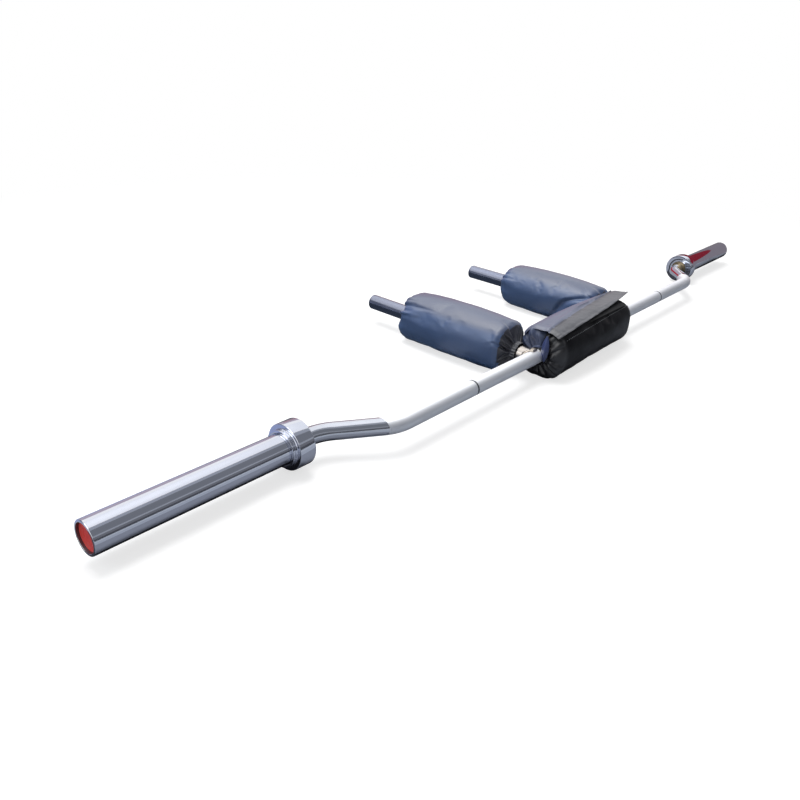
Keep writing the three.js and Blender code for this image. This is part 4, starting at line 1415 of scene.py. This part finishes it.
def add_card(name, low, high, colour, width=(-11.0, 5.0), lit=False, turn=0.0):
    """A card along the set that only shiny surfaces see, between two edges given as (y, z).

    It glows by itself, or takes the room's light and shadows if it is lit. A turn swings it round
    the set's middle.
    """
    clear_selection()
    middle = Vector((sum(width) / 2, (low[0] + high[0]) / 2, (low[1] + high[1]) / 2))
    rise = Vector((0, high[0] - low[0], high[1] - low[1]))
    bpy.ops.mesh.primitive_plane_add(size=1, location=middle)
    card = bpy.context.object
    card.name = name
    card.location = Matrix.Rotation(turn, 3, "Z") @ middle
    card.scale = (width[1] - width[0], rise.length, 1)
    card.rotation_euler = (math.atan2(rise.z, rise.y), 0, turn)
    material, tree, shader = shader_tree(name)
    if lit:
        feed_node(tree, shader, Base_Color=(*colour, 1), Roughness=1.0, Specular_IOR_Level=0.0)
    else:
        tree.links.new(glow(tree, colour), tree.nodes["Material Output"].inputs["Surface"])
    card.data.materials.append(material)
    card.visible_camera = False
    card.visible_diffuse = False
    card.visible_shadow = False
    card.visible_transmission = False


def add_lamp(name, place, size, power, colour=WHITE):
    data = bpy.data.lights.new(name, "AREA")
    data.shape = "RECTANGLE"
    data.size, data.size_y = size
    data.energy = power
    data.color = colour
    lamp = bpy.data.objects.new(name, data)
    lamp.location = place
    target = Vector((0, 0.1, 0.05)) - Vector(place)
    lamp.rotation_mode = "QUATERNION"
    lamp.rotation_quaternion = target.to_track_quat("-Z", "Y")
    bpy.context.scene.collection.objects.link(lamp)


def set_world():
    world = bpy.data.worlds.new("studio_world")
    world.use_nodes = True
    tree = world.node_tree
    strength = ramp_between(tree, seen_directly(tree), 0.0, 1.0, WORLD_LIGHT, 1.0)
    feed_node(tree, tree.nodes["Background"], Color=(*WHITE, 1), Strength=strength)
    bpy.context.scene.world = world


def set_stage():
    add_floor()
    add_lamp("key_light", (0.3, -0.7, 2.7), (2.2, 1.6), 84)
    add_lamp("side_light", (2.2, -0.4, 1.4), (1.2, 1.0), 6, (0.85, 0.92, 1.0))
    strips = [
        ("floor_behind", FAR_WALL_Y, 0.05, (0.30, 0.32, 0.37)),
        # The strip under the bar is much darker than the floor round it: a painted shadow for the chrome to
        # reflect.
        ("shadow_strip_under_bar", 0.05, 0.14, (0.05, 0.052, 0.062)),
        ("floor_near", 0.14, 0.24, (0.20, 0.215, 0.255)),
        ("floor_middle", 0.24, 0.40, (0.30, 0.325, 0.375)),
        ("floor_far", 0.40, 0.95, (0.38, 0.41, 0.46)),
    ]
    for name, near, far, colour in strips:
        add_card(name, (near, STRIP_Z), (far, STRIP_Z), colour, lit=True)
    add_card("floor_edge", (0.95, STRIP_Z), (LOW_WALL_Y, STRIP_Z), (0.08, 0.085, 0.10))
    bands = [
        ("dark_skirting", 0.0, 0.36, (0.075, 0.078, 0.09)),
        ("low_wall", 0.36, 0.86, (0.15, 0.155, 0.175)),
        ("light_line", 0.86, 1.24, (0.30, 0.32, 0.36)),
    ]
    for name, low, high, colour in bands:
        add_card(name, (LOW_WALL_Y, low), (LOW_WALL_Y, high), colour)
    add_card("high_wall", (LOW_WALL_Y, 1.24), (1.3, 2.3), (0.175, 0.185, 0.21))
    add_card("ceiling_edge", (1.3, 2.3), (0.6, 2.5), (0.33, 0.35, 0.40))
    add_card("ceiling", (0.5, 2.35), (-1.8, 2.35), (0.90, 0.92, 0.97))
    add_card("mauve_wall", (FAR_WALL_Y, 0.0), (FAR_WALL_Y, 1.9), (0.48, 0.42, 0.50))
    panels = [
        ("pink_wall", 1.0, (0.40, 0.27, 0.31), (-2.6, -1.2)),
        ("red_wall", 0.75, (0.42, 0.035, 0.05), (-11.0, -2.6)),
        ("grey_wall", 2.2, (0.17, 0.19, 0.24), (1.6, 5.0)),
    ]
    for name, high, colour, width in panels:
        add_card(name, (BEFORE_FAR_WALL, 0.0), (BEFORE_FAR_WALL, high), colour, width)
    screens = [
        ("red_screen", 0.13, 0.27, (0.21, 0.018, 0.032)),
        ("screen_foot", 0.01, 0.13, (0.21, 0.19, 0.22)),
    ]
    for name, low, high, colour in screens:
        add_card(name, (SCREEN_Y, low), (SCREEN_Y, high), colour, (-0.12, 0.34), turn=math.pi / 2)
    add_card("blue_floor", (-1.5, 0.003), (0.02, 0.003), (0.24, 0.28, 0.44), width=(0.78, 2.4), lit=True)
    add_card("inner_floor", (-0.75, 0.003), (-0.02, 0.003), (0.06, 0.075, 0.10), width=(-0.3, 0.7))
    set_world()
    bpy.context.scene.view_settings.view_transform = "Standard"


add_camera()
make_shaft()
make_sleeves()
make_arms()
make_shoulder_pads()
make_neck_pad()
set_stage()
